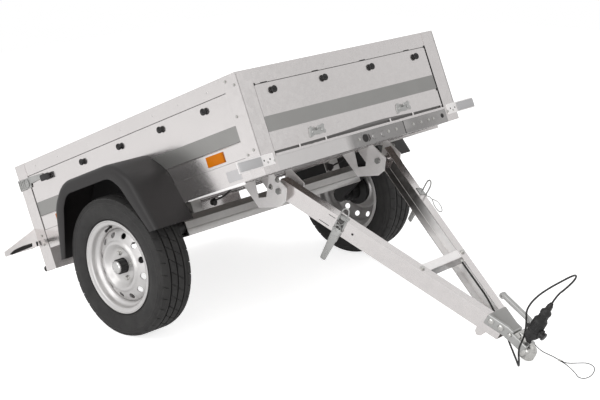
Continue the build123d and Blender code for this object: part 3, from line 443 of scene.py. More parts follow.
# a piece in the making: a mesh in millimetres of the frame of the body that it rides on
class Blank:
    def __init__(self, body):
        self.body = body
        self.mesh = bmesh.new()

    def add(self, part, soft=0.0, steps=2, place=Matrix()):
        # takes in a shape with its faces turned outwards and its edges rounded
        bmesh.ops.recalc_face_normals(part, faces=part.faces)
        if soft:
            edges = [e for e in part.edges if e.is_manifold and e.calc_face_angle(0) > radians(25)]
            bmesh.ops.bevel(part, geom=edges, offset=soft, segments=steps, profile=0.5, affect="EDGES",
                            clamp_overlap=True)
        bmesh.ops.transform(part, matrix=place, verts=part.verts)
        self.join(part)

    def join(self, part):
        spare = bpy.data.meshes.new("spare")
        part.to_mesh(spare)
        part.free()
        self.mesh.from_mesh(spare)
        bpy.data.meshes.remove(spare)

    def block(self, low, high, soft=0.0, steps=2, place=Matrix()):
        part = bmesh.new()
        corners = [part.verts.new((x, y, z)) for x in (low[0], high[0]) for y in (low[1], high[1])
                   for z in (low[2], high[2])]
        for ring in ((0, 1, 3, 2), (4, 6, 7, 5), (0, 4, 5, 1), (2, 3, 7, 6), (0, 2, 6, 4), (1, 5, 7, 3)):
            part.faces.new([corners[i] for i in ring])
        self.add(part, soft, steps, place)

    def slab(self, outline, low, high, across="z", soft=0.0, steps=2, place=Matrix()):
        # an outline in the two other axes, in their order, pulled from low to high
        part = bmesh.new()
        spot = {"x": lambda a, b, c: (c, a, b), "y": lambda a, b, c: (a, c, b),
                "z": lambda a, b, c: (a, b, c)}[across]
        rings = [[part.verts.new(spot(a, b, c)) for a, b in outline] for c in (low, high)]
        part.faces.new(rings[0])
        part.faces.new(rings[1])
        skin(part, rings, around=True)
        self.add(part, soft, steps, place)

    def turned(self, profile, steps=64, place=Matrix(), closed=False):
        # an outline of (radius, height) turned round its own height axis, z
        part = bmesh.new()
        rings = []
        for radius, height in profile:
            ring = circle(radius, steps) if radius > 1e-6 else [(0, 0)]
            rings.append([part.verts.new((x, y, height)) for x, y in ring])
        pairs = list(zip(rings, rings[1:]))
        if closed:
            pairs.append((rings[-1], rings[0]))
        for one, two in pairs:
            for i in range(steps):
                j = (i + 1) % steps
                face = [one[i % len(one)], one[j % len(one)], two[j % len(two)], two[i % len(two)]]
                face = [v for k, v in enumerate(face) if v not in face[:k]]
                if len(face) > 2:
                    part.faces.new(face)
        self.add(part, place=place)

    def rod(self, radius, low, high, steps, place):
        self.turned([(0, low), (radius, low), (radius, high), (0, high)], steps, place)

    def wire(self, points, radius, closed=False, sides=10, place=Matrix()):
        # a round wire along a line of points, or round a loop of them
        part = bmesh.new()
        line = [place @ Vector(p) for p in points]
        count = len(line)
        normal, rings = None, []
        for i, middle in enumerate(line):
            before = line[i - 1] if i or closed else middle
            after = line[(i + 1) % count] if i + 1 < count or closed else middle
            ahead = (after - before).normalized()
            start = normal if normal is not None else Vector((0.31, 0.17, 0.93))
            normal = (start - ahead * start.dot(ahead)).normalized()
            side = ahead.cross(normal)
            ring = [middle + radius * (u * normal + v * side) for u, v in circle(1, sides)]
            rings.append([part.verts.new(spot) for spot in ring])
        skin(part, rings, around=True)
        if closed:
            shift = min(range(sides), key=lambda k: (rings[-1][0].co - rings[0][k].co).length)
            skin(part, [rings[-1], rings[0][shift:] + rings[0][:shift]], around=True)
        else:
            part.faces.new(rings[0])
            part.faces.new(rings[-1])
        self.add(part)

    def mirrored(self):
        # adds the same on the other side of the middle
        copy = self.mesh.copy()
        bmesh.ops.scale(copy, vec=(1, -1, 1), verts=copy.verts)
        bmesh.ops.reverse_faces(copy, faces=copy.faces)
        self.join(copy)

    def flipped(self):
        bmesh.ops.scale(self.mesh, vec=(1, -1, 1), verts=self.mesh.verts)
        bmesh.ops.reverse_faces(self.mesh, faces=self.mesh.faces)

    def meshed(self, name):
        # the mesh at its place in the world, in metres
        mesh = bpy.data.meshes.new(name)
        bmesh.ops.transform(self.mesh, matrix=homes[self.body], verts=self.mesh.verts)
        self.mesh.to_mesh(mesh)
        self.mesh.free()
        return mesh

    def done(self, name, material, replaces=(), sharp=35, both=False, right=False):
        # both adds the mirror image, right moves the piece to the right-hand side
        if both:
            self.mirrored()
        if right:
            self.flipped()
        return dressed(name, self.meshed(name), self.body, material, replaces, sharp)


def dressed(name, mesh, body, material, replaces=(), sharp=35):
    mesh.materials.clear()
    mesh.materials.append(finish[material])
    mesh.polygons.foreach_set("use_smooth", [True] * len(mesh.polygons))
    mesh.set_sharp_from_angle(angle=radians(sharp))
    made = placed(name, mesh)
    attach(made, body)
    if replaces:
        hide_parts(*replaces)
    return made


def curved(points, steps=4):
    # a smooth line through points
    line = []
    count = len(points)
    for i in range(count - 1):
        p0, p1, p2, p3 = points[max(i - 1, 0)], points[i], points[i + 1], points[min(i + 2, count - 1)]
        for k in range(steps):
            t = k / steps
            line.append(tuple(0.5 * (2 * b + (c - a) * t + (2 * a - 5 * b + 4 * c - d) * t * t
                                     + (3 * b - a - 3 * c + d) * t ** 3)
                              for a, b, c, d in zip(p0, p1, p2, p3)))
    line.append(tuple(points[-1]))
    return line


def cornersCut(points, share):
    # each corner of a closed outline replaced by two points
    made = []
    for one, two in zip(points, points[1:] + points[:1]):
        a, b = Vector(one), Vector(two)
        made += [tuple(a.lerp(b, share)), tuple(a.lerp(b, 1 - share))]
    return made


# turns z of a lathe into a direction
towards = {"x": spun(90, "Y"), "y": spun(-90, "X"), "-y": spun(90, "X"), "z": Matrix()}


def at(x, y, z, way="z"):
    return Matrix.Translation((x, y, z)) @ towards[way]


# the node groups repeat things: each takes its finish and its sizes as inputs
def newTree(name, inputs):
    tree = bpy.data.node_groups.new(name, "GeometryNodeTree")
    sockets = {"Geometry": ("Geometry", None), "Material": ("Material", None), **inputs}
    for label, (kind, value) in sockets.items():
        socket = tree.interface.new_socket(label, in_out="INPUT", socket_type="NodeSocket" + kind)
        if value is not None:
            socket.default_value = value
    tree.interface.new_socket("Geometry", in_out="OUTPUT", socket_type="NodeSocketGeometry")
    return tree, put(tree, "NodeGroupInput"), put(tree, "NodeGroupOutput")


def endTree(tree, source, output, geometry):
    real = put(tree, "GeometryNodeRealizeInstances", {"Geometry": geometry})
    painted = put(tree, "GeometryNodeSetMaterial", {"Geometry": real.outputs[0],
                                                    "Material": source.outputs["Material"]})
    tree.links.new(painted.outputs[0], output.inputs[0])
    return tree


def copied(tree, source, shape, scale=(1, 1, 1)):
    # a copy on each point, turned the way that the point carries
    way = put(tree, "GeometryNodeInputNamedAttribute", {"Name": "facing"}, data_type="FLOAT_VECTOR")
    turn = put(tree, "FunctionNodeAlignRotationToVector", {"Vector": way.outputs[0]}, axis="Z").outputs[0]
    return put(tree, "GeometryNodeInstanceOnPoints", {"Points": source.outputs["Geometry"], "Instance": shape,
                                                      "Rotation": turn, "Scale": scale}).outputs[0]


def boltTree():
    # a six-sided head on a round washer
    tree, source, output = newTree("boltRow", {
        "Head Radius": ("Float", 0.008), "Head Height": ("Float", 0.005),
        "Washer Radius": ("Float", 0.011), "Washer Height": ("Float", 0.0014)})
    pick = source.outputs
    stack = put(tree, "GeometryNodeJoinGeometry")
    for part, corners, foot in (("Head", 6, pick["Washer Height"]), ("Washer", 20, 0.0)):
        height = pick[part + " Height"]
        shape = put(tree, "GeometryNodeMeshCylinder", {"Vertices": corners, "Radius": pick[part + " Radius"],
                                                       "Depth": height})
        lift = maths(tree, "ADD", maths(tree, "DIVIDE", height, 2.0), foot)
        up = put(tree, "ShaderNodeCombineXYZ", {"Z": lift}).outputs[0]
        moved = put(tree, "GeometryNodeTransform", {"Geometry": shape.outputs["Mesh"], "Translation": up})
        tree.links.new(moved.outputs[0], stack.inputs[0])
    return endTree(tree, source, output, copied(tree, source, stack.outputs[0]))


def domeTree():
    tree, source, output = newTree("domeRow", {"Radius": ("Float", 0.005), "Flatness": ("Float", 0.4)})
    ball = put(tree, "GeometryNodeMeshUVSphere", {"Segments": 16, "Rings": 8,
                                                  "Radius": source.outputs["Radius"]})
    squash = put(tree, "ShaderNodeCombineXYZ", {"X": 1.0, "Y": 1.0,
                                                "Z": source.outputs["Flatness"]}).outputs[0]
    return endTree(tree, source, output, copied(tree, source, ball.outputs["Mesh"], squash))


def knobTree():
    # the shape of another object on each point
    tree, source, output = newTree("knobRow", {"Outline": ("Object", None)})
    given = put(tree, "GeometryNodeObjectInfo", {"Object": source.outputs["Outline"]})
    return endTree(tree, source, output, copied(tree, source, given.outputs["Geometry"]))


def treadTree():
    # one pitch of the tread, repeated round the axle
    tree, source, output = newTree("treadRing", {"Pitches": ("Int", 36)})
    points = put(tree, "GeometryNodePoints", {"Count": source.outputs["Pitches"]})
    index = put(tree, "GeometryNodeInputIndex").outputs[0]
    angle = maths(tree, "MULTIPLY", index, maths(tree, "DIVIDE", tau, source.outputs["Pitches"]))
    turn = put(tree, "ShaderNodeCombineXYZ", {"Z": angle}).outputs[0]
    copies = put(tree, "GeometryNodeInstanceOnPoints", {"Points": points.outputs[0],
                                                        "Instance": source.outputs["Geometry"]})
    turned = put(tree, "GeometryNodeRotateInstances", {"Instances": copies.outputs[0], "Rotation": turn})
    return endTree(tree, source, output, turned.outputs[0])


trees = {"bolt": boltTree(), "dome": domeTree(), "knob": knobTree(), "tread": treadTree()}


def grown(name, mesh, tree, values, material):
    # the node group's result on a mesh, as a plain mesh
    seed = placed(name + "_seed", mesh)
    modifier = seed.modifiers.new("nodes", "NODES")
    modifier.node_group = trees[tree]
    for item in trees[tree].interface.items_tree:
        if item.in_out == "INPUT" and item.name == "Material":
            modifier[item.identifier] = finish[material]
        elif item.in_out == "INPUT" and item.name in values:
            modifier[item.identifier] = values[item.name]
    bpy.context.view_layer.update()
    settled = seed.evaluated_get(bpy.context.evaluated_depsgraph_get())
    made = bpy.data.meshes.new_from_object(settled)
    seed.modifiers.remove(modifier)
    bpy.data.objects.remove(seed)
    return made


def spots(body, places):
    # points that carry the way they face, from rows of (place, way), in the millimetres of a body's frame
    mesh = bpy.data.meshes.new("spots")
    space = homes[body]
    mesh.from_pydata([space @ Vector(place) for place, way in places], [], [])
    facing = mesh.attributes.new("facing", "FLOAT_VECTOR", "POINT")
    spin = space.to_3x3()
    for i, (place, way) in enumerate(places):
        facing.data[i].vector = (spin @ Vector(way)).normalized()
    return mesh


def scattered(name, body, tree, values, places, material, replaces=(), sharp=35):
    # one piece of the node group's copies, one on each of the places
    mesh = grown(name, spots(body, places), tree, values, material)
    return dressed(name, mesh, body, material, replaces, sharp)


def bothWays(places):
    # the same places on both sides of the middle
    return places + [((p[0], -p[1], p[2]), (w[0], -w[1], w[2])) for p, w in places]


print("helpers ready")

# mudguards: the outline of the walls and the mouth inside the lip, both as six corners
guard = {"outline": ((-322, 90), (-255, 298), (-165, 377), (165, 377), (255, 298), (322, 90)),
         "mouth": ((-283, 90), (-190, 280), (-146, 326), (146, 326), (190, 280), (283, 90)),
         "outlineRound": 130.0, "mouthRound": 75.0, "seat": 556.7, "face": 743.5, "wall": 0.08,
         "edge": 22.0, "lip": 50.0}


def roundedLine(points, radius, steps=7):
    made = [points[0]]
    for before, corner, after in zip(points, points[1:], points[2:]):
        one, two = (before - corner).normalized(), (after - corner).normalized()
        half = one.angle(two) / 2
        reach = radius / tan(half)
        middle = corner + (one + two).normalized() * (radius / sin(half))
        start, end = corner + one * reach, corner + two * reach
        first = atan2(start.y - middle.y, start.x - middle.x)
        turn = (atan2(end.y - middle.y, end.x - middle.x) - first + pi) % tau - pi
        made += [middle + radius * Vector((cos(first + turn * k / steps), sin(first + turn * k / steps)))
                 for k in range(steps + 1)]
    return made + [points[-1]]


def guardLine(share):
    # the line at a share of the way from the outline to the mouth
    ends = [roundedLine([Vector(p) for p in guard[kind]], guard[kind + "Round"])
            for kind in ("outline", "mouth")]
    return [p.lerp(q, share) for p, q in zip(*ends)]


def mudguard(side):
    blank = Blank("bed")
    face, edge, wall = guard["face"], guard["edge"], guard["wall"]
    rounding = [(edge / guard["lip"] * (1 - cos(a)), face - edge * (1 - sin(a)))
                for a in (0, 0.25, 0.5, 0.75, 1.0, 1.25, pi / 2)]
    section = [(0.0, guard["seat"]), (0.0, 650.0), *rounding, (0.92, face), (0.97, face - 0.8),
               (1.0, face - 2.6), (0.985, face - 4.2), (0.85, face - 4.5), (0.4, face - 5),
               (wall + 0.1, face - 16), (wall, face - 30), (wall, 650.0), (wall, guard["seat"])]
    rows = [[(p.x, y, p.y) for p in guardLine(share)] for share, y in section]
    part = bmesh.new()
    grid = [[part.verts.new(p) for p in row] for row in rows]
    skin(part, grid, closed=True)
    part.faces.new([row[0] for row in grid])
    part.faces.new([row[-1] for row in grid])
    blank.add(part)
    blank.done("mudguard_shell_" + side, "guard", ["mudguard_" + side], sharp=50, right=side == "right")
    liner = Blank("bed")
    inside = [(p.x, p.y) for p in guardLine(wall + 0.01)]
    liner.slab(inside, guard["seat"] + 0.3, guard["seat"] + 1.8, across="y")
    liner.done("mudguard_liner_" + side, "liner", right=side == "right")


for side in ("left", "right"):
    mudguard(side)
print("mudguards made")

# wheels: frames at the middle of each wheel, z of the lathe out of the wheel's outer face
wheel = {"track": 1311.0, "radius": 273.5, "floor": 267.0, "pitches": 36, "sipe": 2.8, "slant": 4.4,
         "vents": 12, "ventCircle": 121.0, "ventBand": (105.0, 137.0), "ventAcross": 13.0, "ventRise": 11.0,
         "discThick": 4.0, "boltCircle": 50.0, "bolts": 4}


for side, sign, way in (("left", 1, "y"), ("right", -1, "-y")):
    homes["wheel_" + side] = bedSpace @ at(0, sign * wheel["track"] / 2, 0, way)


def tyreCasing(side):
    # (radius, distance out of the middle plane) from the outer bead over the tread to the inner bead
    wall = curved([(166.5, 58.4), (178, 61.2), (185.5, 63.5), (190, 69.6), (193.5, 69.4), (196, 71.2),
                   (206, 74.6), (216, 76.8), (228, 77.4), (240, 76.8)], 3)
    ridges = [(243, 76.9), (243.6, 77.3), (246, 76.9), (246.8, 76.1), (252, 74.4), (252.6, 74.6), (255, 73.4),
              (255.8, 72.5), (261, 69.8), (265.5, 66.0), (267, 62.5)]
    floor = wheel["floor"]
    crown = [(floor, 49.0), (272.6, 48.6), (273.4, 46.0), (273.5, 36.6), (273.2, 36.1), (floor, 35.8),
             (floor, 0)]
    outside = wall + ridges + crown
    outside += [(r, -y) for r, y in reversed(outside[:-1])]
    inside = [(166.5, -46), (178, -50), (196, -62), (220, -68), (244, -62), (255, -46), (255, 46), (244, 62),
              (220, 68), (196, 62), (178, 50), (166.5, 46)]
    blank = Blank("wheel_" + side)
    blank.turned(outside + inside, steps=120, closed=True)
    blank.done("tyre_casing_" + side, "tyre", ["tyre_" + side], sharp=38)


def treadPitch():
    # the blocks of one pitch, as a mesh in metres round the wheel's own axis
    part = bmesh.new()
    pitch = tau / wheel["pitches"]
    gap = wheel["sipe"] / wheel["radius"]
    slant = radians(wheel["slant"])
    rows = [((3.2, 29.8), slant, 0.0), ((-29.8, -3.2), slant, 0.5 * pitch),
            ((49.0, 69.0), 0.35 * slant, 0.2 * pitch), ((-69.0, -49.0), 0.35 * slant, 0.7 * pitch)]

    def surface(out):
        return wheel["radius"] - max(0.0, abs(out) - 46) ** 2 / 95

    for (near, far), lean, start in rows:
        across = [near + (far - near) * k / 6 for k in range(7)]
        around = [gap / 2 + (pitch - gap) * k / 5 for k in range(6)]
        top, low = [], []
        for out in across:
            shift = start + lean * (out - near) / (far - near)
            tall, deep = surface(out), wheel["floor"] - 0.8 if abs(out) < 60 else surface(out) - 5.5
            top.append([part.verts.new((tall * cos(a + shift), tall * sin(a + shift), out)) for a in around])
            low.append([part.verts.new((deep * cos(a + shift), deep * sin(a + shift), out)) for a in around])
        edges = []
        for grid in (top, low):
            skin(part, grid)
            edges.append([row[0] for row in grid] + grid[-1][1:] + [row[-1] for row in reversed(grid)][1:]
                         + grid[0][-2:0:-1])
        skin(part, edges, around=True)
    bmesh.ops.recalc_face_normals(part, faces=part.faces)
    bmesh.ops.scale(part, vec=(0.001,) * 3, verts=part.verts)
    mesh = bpy.data.meshes.new("treadPitch")
    part.to_mesh(mesh)
    part.free()
    return mesh


def treadBlocks(side):
    mesh = grown("tread_" + side, treadPitch(), "tread", {"Pitches": wheel["pitches"]}, "tyre")
    mesh.transform(homes["wheel_" + side] @ Matrix.Scale(1000, 4))
    dressed("tread_blocks_" + side, mesh, "wheel_" + side, "tyre", sharp=30)


def rimBarrel(side):
    outline = [(182.5, 68), (182.5, 63), (166, 59), (164, 38), (147, 28), (147, -14), (164, -32), (166, -59),
               (182.5, -63), (182.5, -68), (178, -68), (177, -65), (161.5, -62), (159.5, -34.5), (142.5, -17),
               (142.5, 31), (159.5, 41), (161.5, 62), (177, 65), (178, 68)]
    blank = Blank("wheel_" + side)
    blank.turned(cornersCut(cornersCut(outline, 0.2), 0.25), steps=96, closed=True)
    blank.done("rim_barrel_" + side, "rim", ["rim_" + side], sharp=60)


# (radius, distance out of the middle plane): the hub's seat, the bowl, the raised ring, the vents' slope
discLine = [(30.0, 33.0), (44.0, 33.2), (56.0, 33.6), (63.5, 35.2), (70.0, 39.5), (76.0, 45.5),
            (81.5, 51.0), (86.0, 55.0), (91.0, 56.6), (96.0, 54.4), (101.0, 49.8), (105.0, 47.4),
            (113.0, 43.6), (129.0, 34.6), (137.0, 29.0), (141.0, 25.0), (143.0, 20.0)]


def discHeight(radius):
    line = curved(discLine, 6)
    for (r0, h0), (r1, h1) in zip(line, line[1:]):
        if r0 <= radius <= r1:
            return h0 + (h1 - h0) * (radius - r0) / (r1 - r0)
    return line[-1][1]


def wheelDisc(side):
    # a pressed disc with a ring of round vents, each in its own sector of a clean grid
    middle, (inner, outer) = wheel["ventCircle"], wheel["ventBand"]
    half = pi / wheel["vents"]
    corners = [(-half, inner), (half, inner), (half, outer), (-half, outer)]
    sides = [(a0 + (a1 - a0) * k / 8, r0 + (r1 - r0) * k / 8)
             for (a0, r0), (a1, r1) in zip(corners, corners[1:] + corners[:1]) for k in range(8)]
    rays = []
    for angle, radius in sides:
        spread = Vector((angle * middle, radius - middle))
        edge = spread.normalized() * Vector((wheel["ventAcross"], wheel["ventRise"]))
        rays.append([(edge.x / middle, middle + edge.y)]
                    + [((edge.x + (spread.x - edge.x) * t) / middle,
                        middle + edge.y + (spread.y - edge.y) * t) for t in (0.12, 0.45, 1.0)])
    part = bmesh.new()

    def vertex(angle, radius, back):
        height = discHeight(radius) - (wheel["discThick"] if back else 0)
        return part.verts.new((radius * cos(angle), radius * sin(angle), height))

    for sector in range(wheel["vents"]):
        turn = 2 * half * sector
        sheets = [[[vertex(a + turn, r, back) for a, r in ray] for ray in rays] for back in (False, True)]
        for sheet in sheets:
            skin(part, sheet, closed=True)
        skin(part, [[ray[0] for ray in sheet] for sheet in sheets], around=True)
    count = 8 * wheel["vents"]
    angles = [tau * k / count + half for k in range(count)]
    for radii in ([r for r, _ in curved(discLine, 3) if r < inner] + [inner],
                  [outer] + [r for r, _ in curved(discLine, 3) if r > outer]):
        for back in (False, True):
            skin(part, [[vertex(a, r, back) for a in angles] for r in radii], around=True)
    for radius in (discLine[0][0], discLine[-1][0]):
        skin(part, [[vertex(a, radius, back) for a in angles] for back in (False, True)], around=True)
    bmesh.ops.remove_doubles(part, verts=part.verts, dist=0.02)
    blank = Blank("wheel_" + side)
    blank.add(part)
    blank.done("rim_disc_" + side, "rim", sharp=50)


def hubParts(side):
    drum = Blank("wheel_" + side)
    drum.turned([(16.1, -50), (38, -50), (38, -4), (66, 6), (66, 19.6), (31, 19.8), (31, 12), (21, 12),
                 (21, 6), (16.1, 6)], steps=48, closed=True)
    drum.done("hub_drum_" + side, "plastic", ["hub_" + side])
    cap = Blank("wheel_" + side)
    cap.turned(curved([(21.5, 20), (23.6, 60), (24.4, 64), (24.2, 67.5), (22.5, 70.8), (19.0, 73.2),
                       (13.5, 75.0), (7, 75.8), (0, 76)], 3), steps=48)
    cap.done("hub_cap_" + side, "chrome", sharp=50)
    collar = Blank("wheel_" + side)
    lobes = [27.6 + 1.6 * cos(tau * k / 12) for k in range(96)]
    collar.slab([(r * x, r * y) for r, (x, y) in zip(lobes, circle(1, 96))], 14, 65, soft=0.8)
    collar.done("hub_collar_" + side, "plastic")
    studs = Blank("wheel_" + side)
    for x, y in circle(wheel["boltCircle"], wheel["bolts"]):
        studs.turned([(0, 14), (6.2, 14), (6.2, 33), (10.5, 34.2), (9.6, 36.6), (8.4, 37.2)], steps=24,
                     place=at(x, y, 0))
        studs.slab(circle(8.6, 6), 36.4, 44, soft=1.2, place=at(x, y, 0))
        studs.turned([(4.4, 42), (4.4, 44.1), (6.6, 44.2), (6.6, 42)], steps=20, place=at(x, y, 0),
                     closed=True)
    studs.done("wheel_studs_" + side, "bolt", ["wheel_bolts_" + side])
    stem = Blank("wheel_" + side)
    stem.turned([(0, 0), (6.5, 0), (6.5, 4), (4.6, 7), (4.2, 24), (5.2, 25), (5.2, 33), (4, 34.5), (0, 34.5)],
                steps=20, place=Matrix.Translation((4, 155.5, 39)) @ spun(24, "X"))
    stem.done("valve_stem_" + side, "rubber")


for side in ("left", "right"):
    tyreCasing(side)
    treadBlocks(side)
    rimBarrel(side)
    wheelDisc(side)
    hubParts(side)
print("wheels made")

# the bed: stripes, beads, plates and fasteners
bed = {"rear": -712.0, "half": 558.5, "panelFace": 555.5, "frontFace": 765.0, "beamFace": 768.0,
       "panelEnds": (-638.0, 694.0), "frontHalf": 484.0, "gateHalf": 504.5, "catch": 248,
       "stripe": (297.0, 354.0), "film": 0.35,
       "knobRise": 441.0, "knobAlong": (558.0, 294.0, 28.0, -233.0),
       "knobAside": (-400.0, -131.0, 137.0, 408.0),
       "screws": ((-669, 215), (-671, 177), (711, 510), (750, 488), (715, 381), (711, 242), (746, 252)),
       "spotsAlong": (-560, -390, -170, 60, 270, 430, 600), "spotsAside": (-260, -111, 41, 205, 330)}


def stripes():
    low, high = bed["stripe"]
    face, film = bed["panelFace"], bed["film"]
    blank = Blank("bed")
    rear, ahead = bed["panelEnds"]
    blank.block((rear, face - 0.1, low), (ahead, face + film, high), soft=0.1, steps=1)
    blank.mirrored()
    front, half = bed["frontFace"], bed["frontHalf"] + 1
    blank.block((front - 0.1, -half, low), (front + film, half, high), soft=0.1, steps=1)
    blank.done("panel_stripes", "stripe")
    gate = Blank("tailgate")
    back, half = bed["rear"], bed["gateHalf"] - 6
    gate.block((back - film, -half, low), (back + 0.1, half, high), soft=0.1, steps=1)
    gate.done("gate_stripe", "stripe")


def seamsAndShadows():
    # dark strips: painted shadow under the rails and along the lower edge of the bead, and the dark joints
    # along the skirt and down the posts' edges
    face, half = bed["panelFace"], bed["frontHalf"]
    blank = Blank("bed")
    for low, high, out in (((-636, 470.2), (693, 472.8), 0.5), ((-636, 293.8), (693, 296.4), 1.7),
                           ((-636, 234.2), (-322, 235.4), 1.3), ((322, 234.2), (693, 235.4), 1.3)):
        blank.block((low[0], face - 0.1, low[1]), (high[0], face + out, high[1]))
    for x in (-638.6, 695.2):
        blank.block((x - 0.8, face - 0.1, 158), (x + 0.8, face + 2.2, 471))
    for y in (-484.6, 484.6):
        blank.block((764.9, y - 0.8, 218), (767.4, y + 0.8, 474))
    blank.mirrored()
    blank.block((764.9, -half, 470.2), (766.3, half, 472.4))
    for near, far in ((-553.8, -552.4), (552.4, 553.8)):
        blank.block((767.9, near, 214), (768.15, far, 522))
    blank.done("panel_seams", "darkJointsAndShade")


def beads():
    # rolled creases along the panels, under the stripes
    blank = Blank("bed")
    face = bed["panelFace"]
    outline = [(face - 0.5, 290.6), (face + 0.5, 291.2), (face + 1.3, 292.6), (face + 1.5, 294.2),
               (face + 1.2, 295.6), (face - 0.5, 296.4)]
    blank.slab(outline, *bed["panelEnds"], across="x")
    blank.done("panel_beads", "panel", both=True)


def skirtTrim():
    # the turned edge under each skirt ahead of the wheel, in a bright zinc that paints the highlight along
    # it, and the chassis's cable grommets behind it
    blank = Blank("bed")
    blank.slab([(322, 152.6), (652, 146.6), (652, 157.2), (322, 157.2)], 554.4, 557.4, across="y", soft=0.6)
    blank.done("skirt_lips", "plate", both=True)
    grommet = Blank("bed")
    grommet.turned([(0, 0), (15, 0), (15, 4), (12.5, 8), (11, 15), (8, 17), (0, 17)], steps=32,
                   place=at(205, 334, 128, "y"))
    grommet.wire(curved([(205, 348, 128), (222, 352, 132), (250, 346, 134), (278, 341, 138), (300, 339, 146),
                         (319, 337, 152)], 4), 3.4)
    grommet.done("chassis_grommets", "rubber", both=True)


def axleFacing():
    # the pressed-out lower half of the axle beam's front, in a lighter copy of its zinc: painted light
    blank = Blank("bed")
    blank.slab([(197.6, 32.6), (199.4, 34), (200.2, 56), (197.6, 59.4)], -499, 499, across="y", soft=0.4,
               steps=1)
    blank.done("axle_facing", "facing")


def typePlate():
    # on the right-hand side's skirt
    blank = Blank("bed")
    blank.block((570, -557.6, 169), (646, -556.6, 209), soft=0.3, steps=1)
    blank.done("type_plate", "label")


trim = {"tongues": (-354.5, -214.5, 154.5, 293.5, 474.5), "railSlots": (-434, -165, 101, 367),
        "edgeSlots": ((481, 473), (481, 294), (478, 222), (-481, 473))}


def frontTrim():
    # the folded edge over the front beam, the tongues through the slot above it and the slots under the rail
    half = bed["frontHalf"]
    edge = Blank("bed")
    edge.slab([(764.2, 209.4), (768.6, 209.4), (768.6, 217.2), (767.4, 218.6), (764.2, 218.6)], -half, half,
              across="y")
    for place in trim["tongues"]:
        edge.block((763.5, place - 4, 214), (766.8, place + 4, 231), soft=0.8)
    edge.done("front_edge", "panel")
    # painted shade: a grey block in the gap above the folded edge, and a grey strip painted on the panel's
    # face over it
    shade = Blank("bed")
    shade.block((745, -half, 218.3), (760.5, half, 227.9))
    shade.slab([(-half, 227.6), (-250, 228.6), (-120, 231), (0, 235.5), (120, 236.5), (230, 232.5),
                (300, 229.5), (half, 228.2), (half, 227), (-half, 227)], 764.9, 765.5, across="x")
    shade.done("front_gap", "slot")
    dark = Blank("bed")
    for place in trim["railSlots"]:
        dark.block((764.4, place - 17, 471.0), (766.9, place + 17, 475.0), soft=0.4, steps=1)
    for place, rise in trim["edgeSlots"]:
        dark.block((764.4, place - 4, rise - 5), (767.6, place + 4, rise + 4), soft=0.6, steps=1)
    dark.done("front_slots", "rubber")


beam = {"hole": (-14, 184), "dimples": ((38, 182), (89, 182)), "cap": (458, 186), "joint": (217.6, 220.4),
        "rise": (158, 208.6), "bolts": (-49.5, 122, 169), "raisedBolts": (272, 321, 368, 398),
        "bracketBolts": (-533.5, -500.5, 500.5, 533.5)}


def beamMarks():
    # the front beam: a flanged cable hole, pressed dimples, and the joint of its two halves
    blank = Blank("bed")
    face = bed["beamFace"]
    blank.turned([(15, -3), (17, -3), (17, 1.2), (19.4, 1.2), (20, 0.5), (20, 0), (16.4, 0)], steps=40,
                 place=at(face, *beam["hole"], "x"), closed=True)
    for aside, rise in beam["dimples"]:
        blank.turned([(12.5, -0.6), (12.5, 0.2), (11, 2.4), (8.6, 2.2), (0, 0.9)], steps=28,
                     place=at(face, aside, rise, "x"))
    near, far = beam["joint"]
    low, high = beam["rise"]
    blank.block((767.5, far + 0.1, low), (769.6, 485.3, high), soft=0.5)
    # these marks take the front beam's painted reflection too
    blank.done("beam_marks", "beam")
    dark = Blank("bed")
    dark.rod(15.2, 0, 0.5, steps=40, place=at(face - 0.2, *beam["hole"], "x"))
    dark.rod(9, 0, 0.5, steps=28, place=at(face + 1.5, *beam["cap"], "x"))
    dark.block((767.8, near, low), (768.4, far, high))
    dark.done("beam_holes", "rubber")


screwSize = {"Head Radius": 0.0048, "Head Height": 0.0026, "Washer Radius": 0.0062, "Washer Height": 0.0008}
boltSize = {"Head Radius": 0.0075, "Head Height": 0.005, "Washer Radius": 0.0105, "Washer Height": 0.0016}


def fasteners():
    places = bothWays([((x, bed["half"] - 0.1, z), (0, 1, 0)) for x, z in bed["screws"]])
    face = bed["beamFace"]
    places += [((face, y, 196), (1, 0, 0)) for y in beam["bracketBolts"]]
    places += [((face, y, 185), (1, 0, 0)) for y in beam["bolts"]]
    places += [((face + 1.6, y, 185), (1, 0, 0)) for y in beam["raisedBolts"]]
    places += bothWays([((bed["rear"] - 0.1, 534, z), (-1, 0, 0)) for z in (180, 300, 505)])
    scattered("bed_screws", "bed", "bolt", screwSize, places, "bolt", sharp=30)
    plates = [((535, 334.1, 115), (0, 1, 0)), ((580, 334.1, 132), (0, 1, 0))]
    scattered("frame_bolts", "bed", "bolt", boltSize, bothWays(plates), "bolt", sharp=30)
    domes = bothWays([((x, 557.0, 500), (0, 1, 0)) for x in bed["spotsAlong"]])
    domes += [((766.5, y, 490), (1, 0, 0)) for y in bed["spotsAside"]]
    scattered("weld_spots", "bed", "dome", {"Radius": 0.003, "Flatness": 0.25}, domes, "bolt")


def knobOutline():
    part = Blank("loose")
    part.turned([(0, 0), (9.6, 0), (10.2, 0.8), (9.6, 2.2), (7.4, 3.0), (7.0, 4.4), (8.4, 5.4), (12.0, 6.0),
                 (12.9, 7.2), (12.9, 10.6), (12.0, 12.4), (9.6, 13.0), (8.0, 12.4), (6.4, 10.6),
                 (3.2, 10.2), (2.6, 11.4), (0, 11.6)], steps=28)
    return placed("knobOutline", part.meshed("knobOutline"))


def knobs():
    outline = knobOutline()
    rise = bed["knobRise"]
    places = bothWays([((x, bed["panelFace"], rise), (0, 1, 0)) for x in bed["knobAlong"]])
    places += [((bed["frontFace"], y, rise), (1, 0, 0)) for y in bed["knobAside"]]
    scattered("bed_knobs", "bed", "knob", {"Outline": outline}, places, "plastic", ["tarp_knobs"], sharp=50)
    places = [((bed["rear"], y, rise), (-1, 0, 0)) for y in bed["knobAside"]]
    scattered("gate_buttons", "tailgate", "knob", {"Outline": outline}, places, "plastic", ["gate_knobs"],
              sharp=50)
    bpy.data.objects.remove(outline)


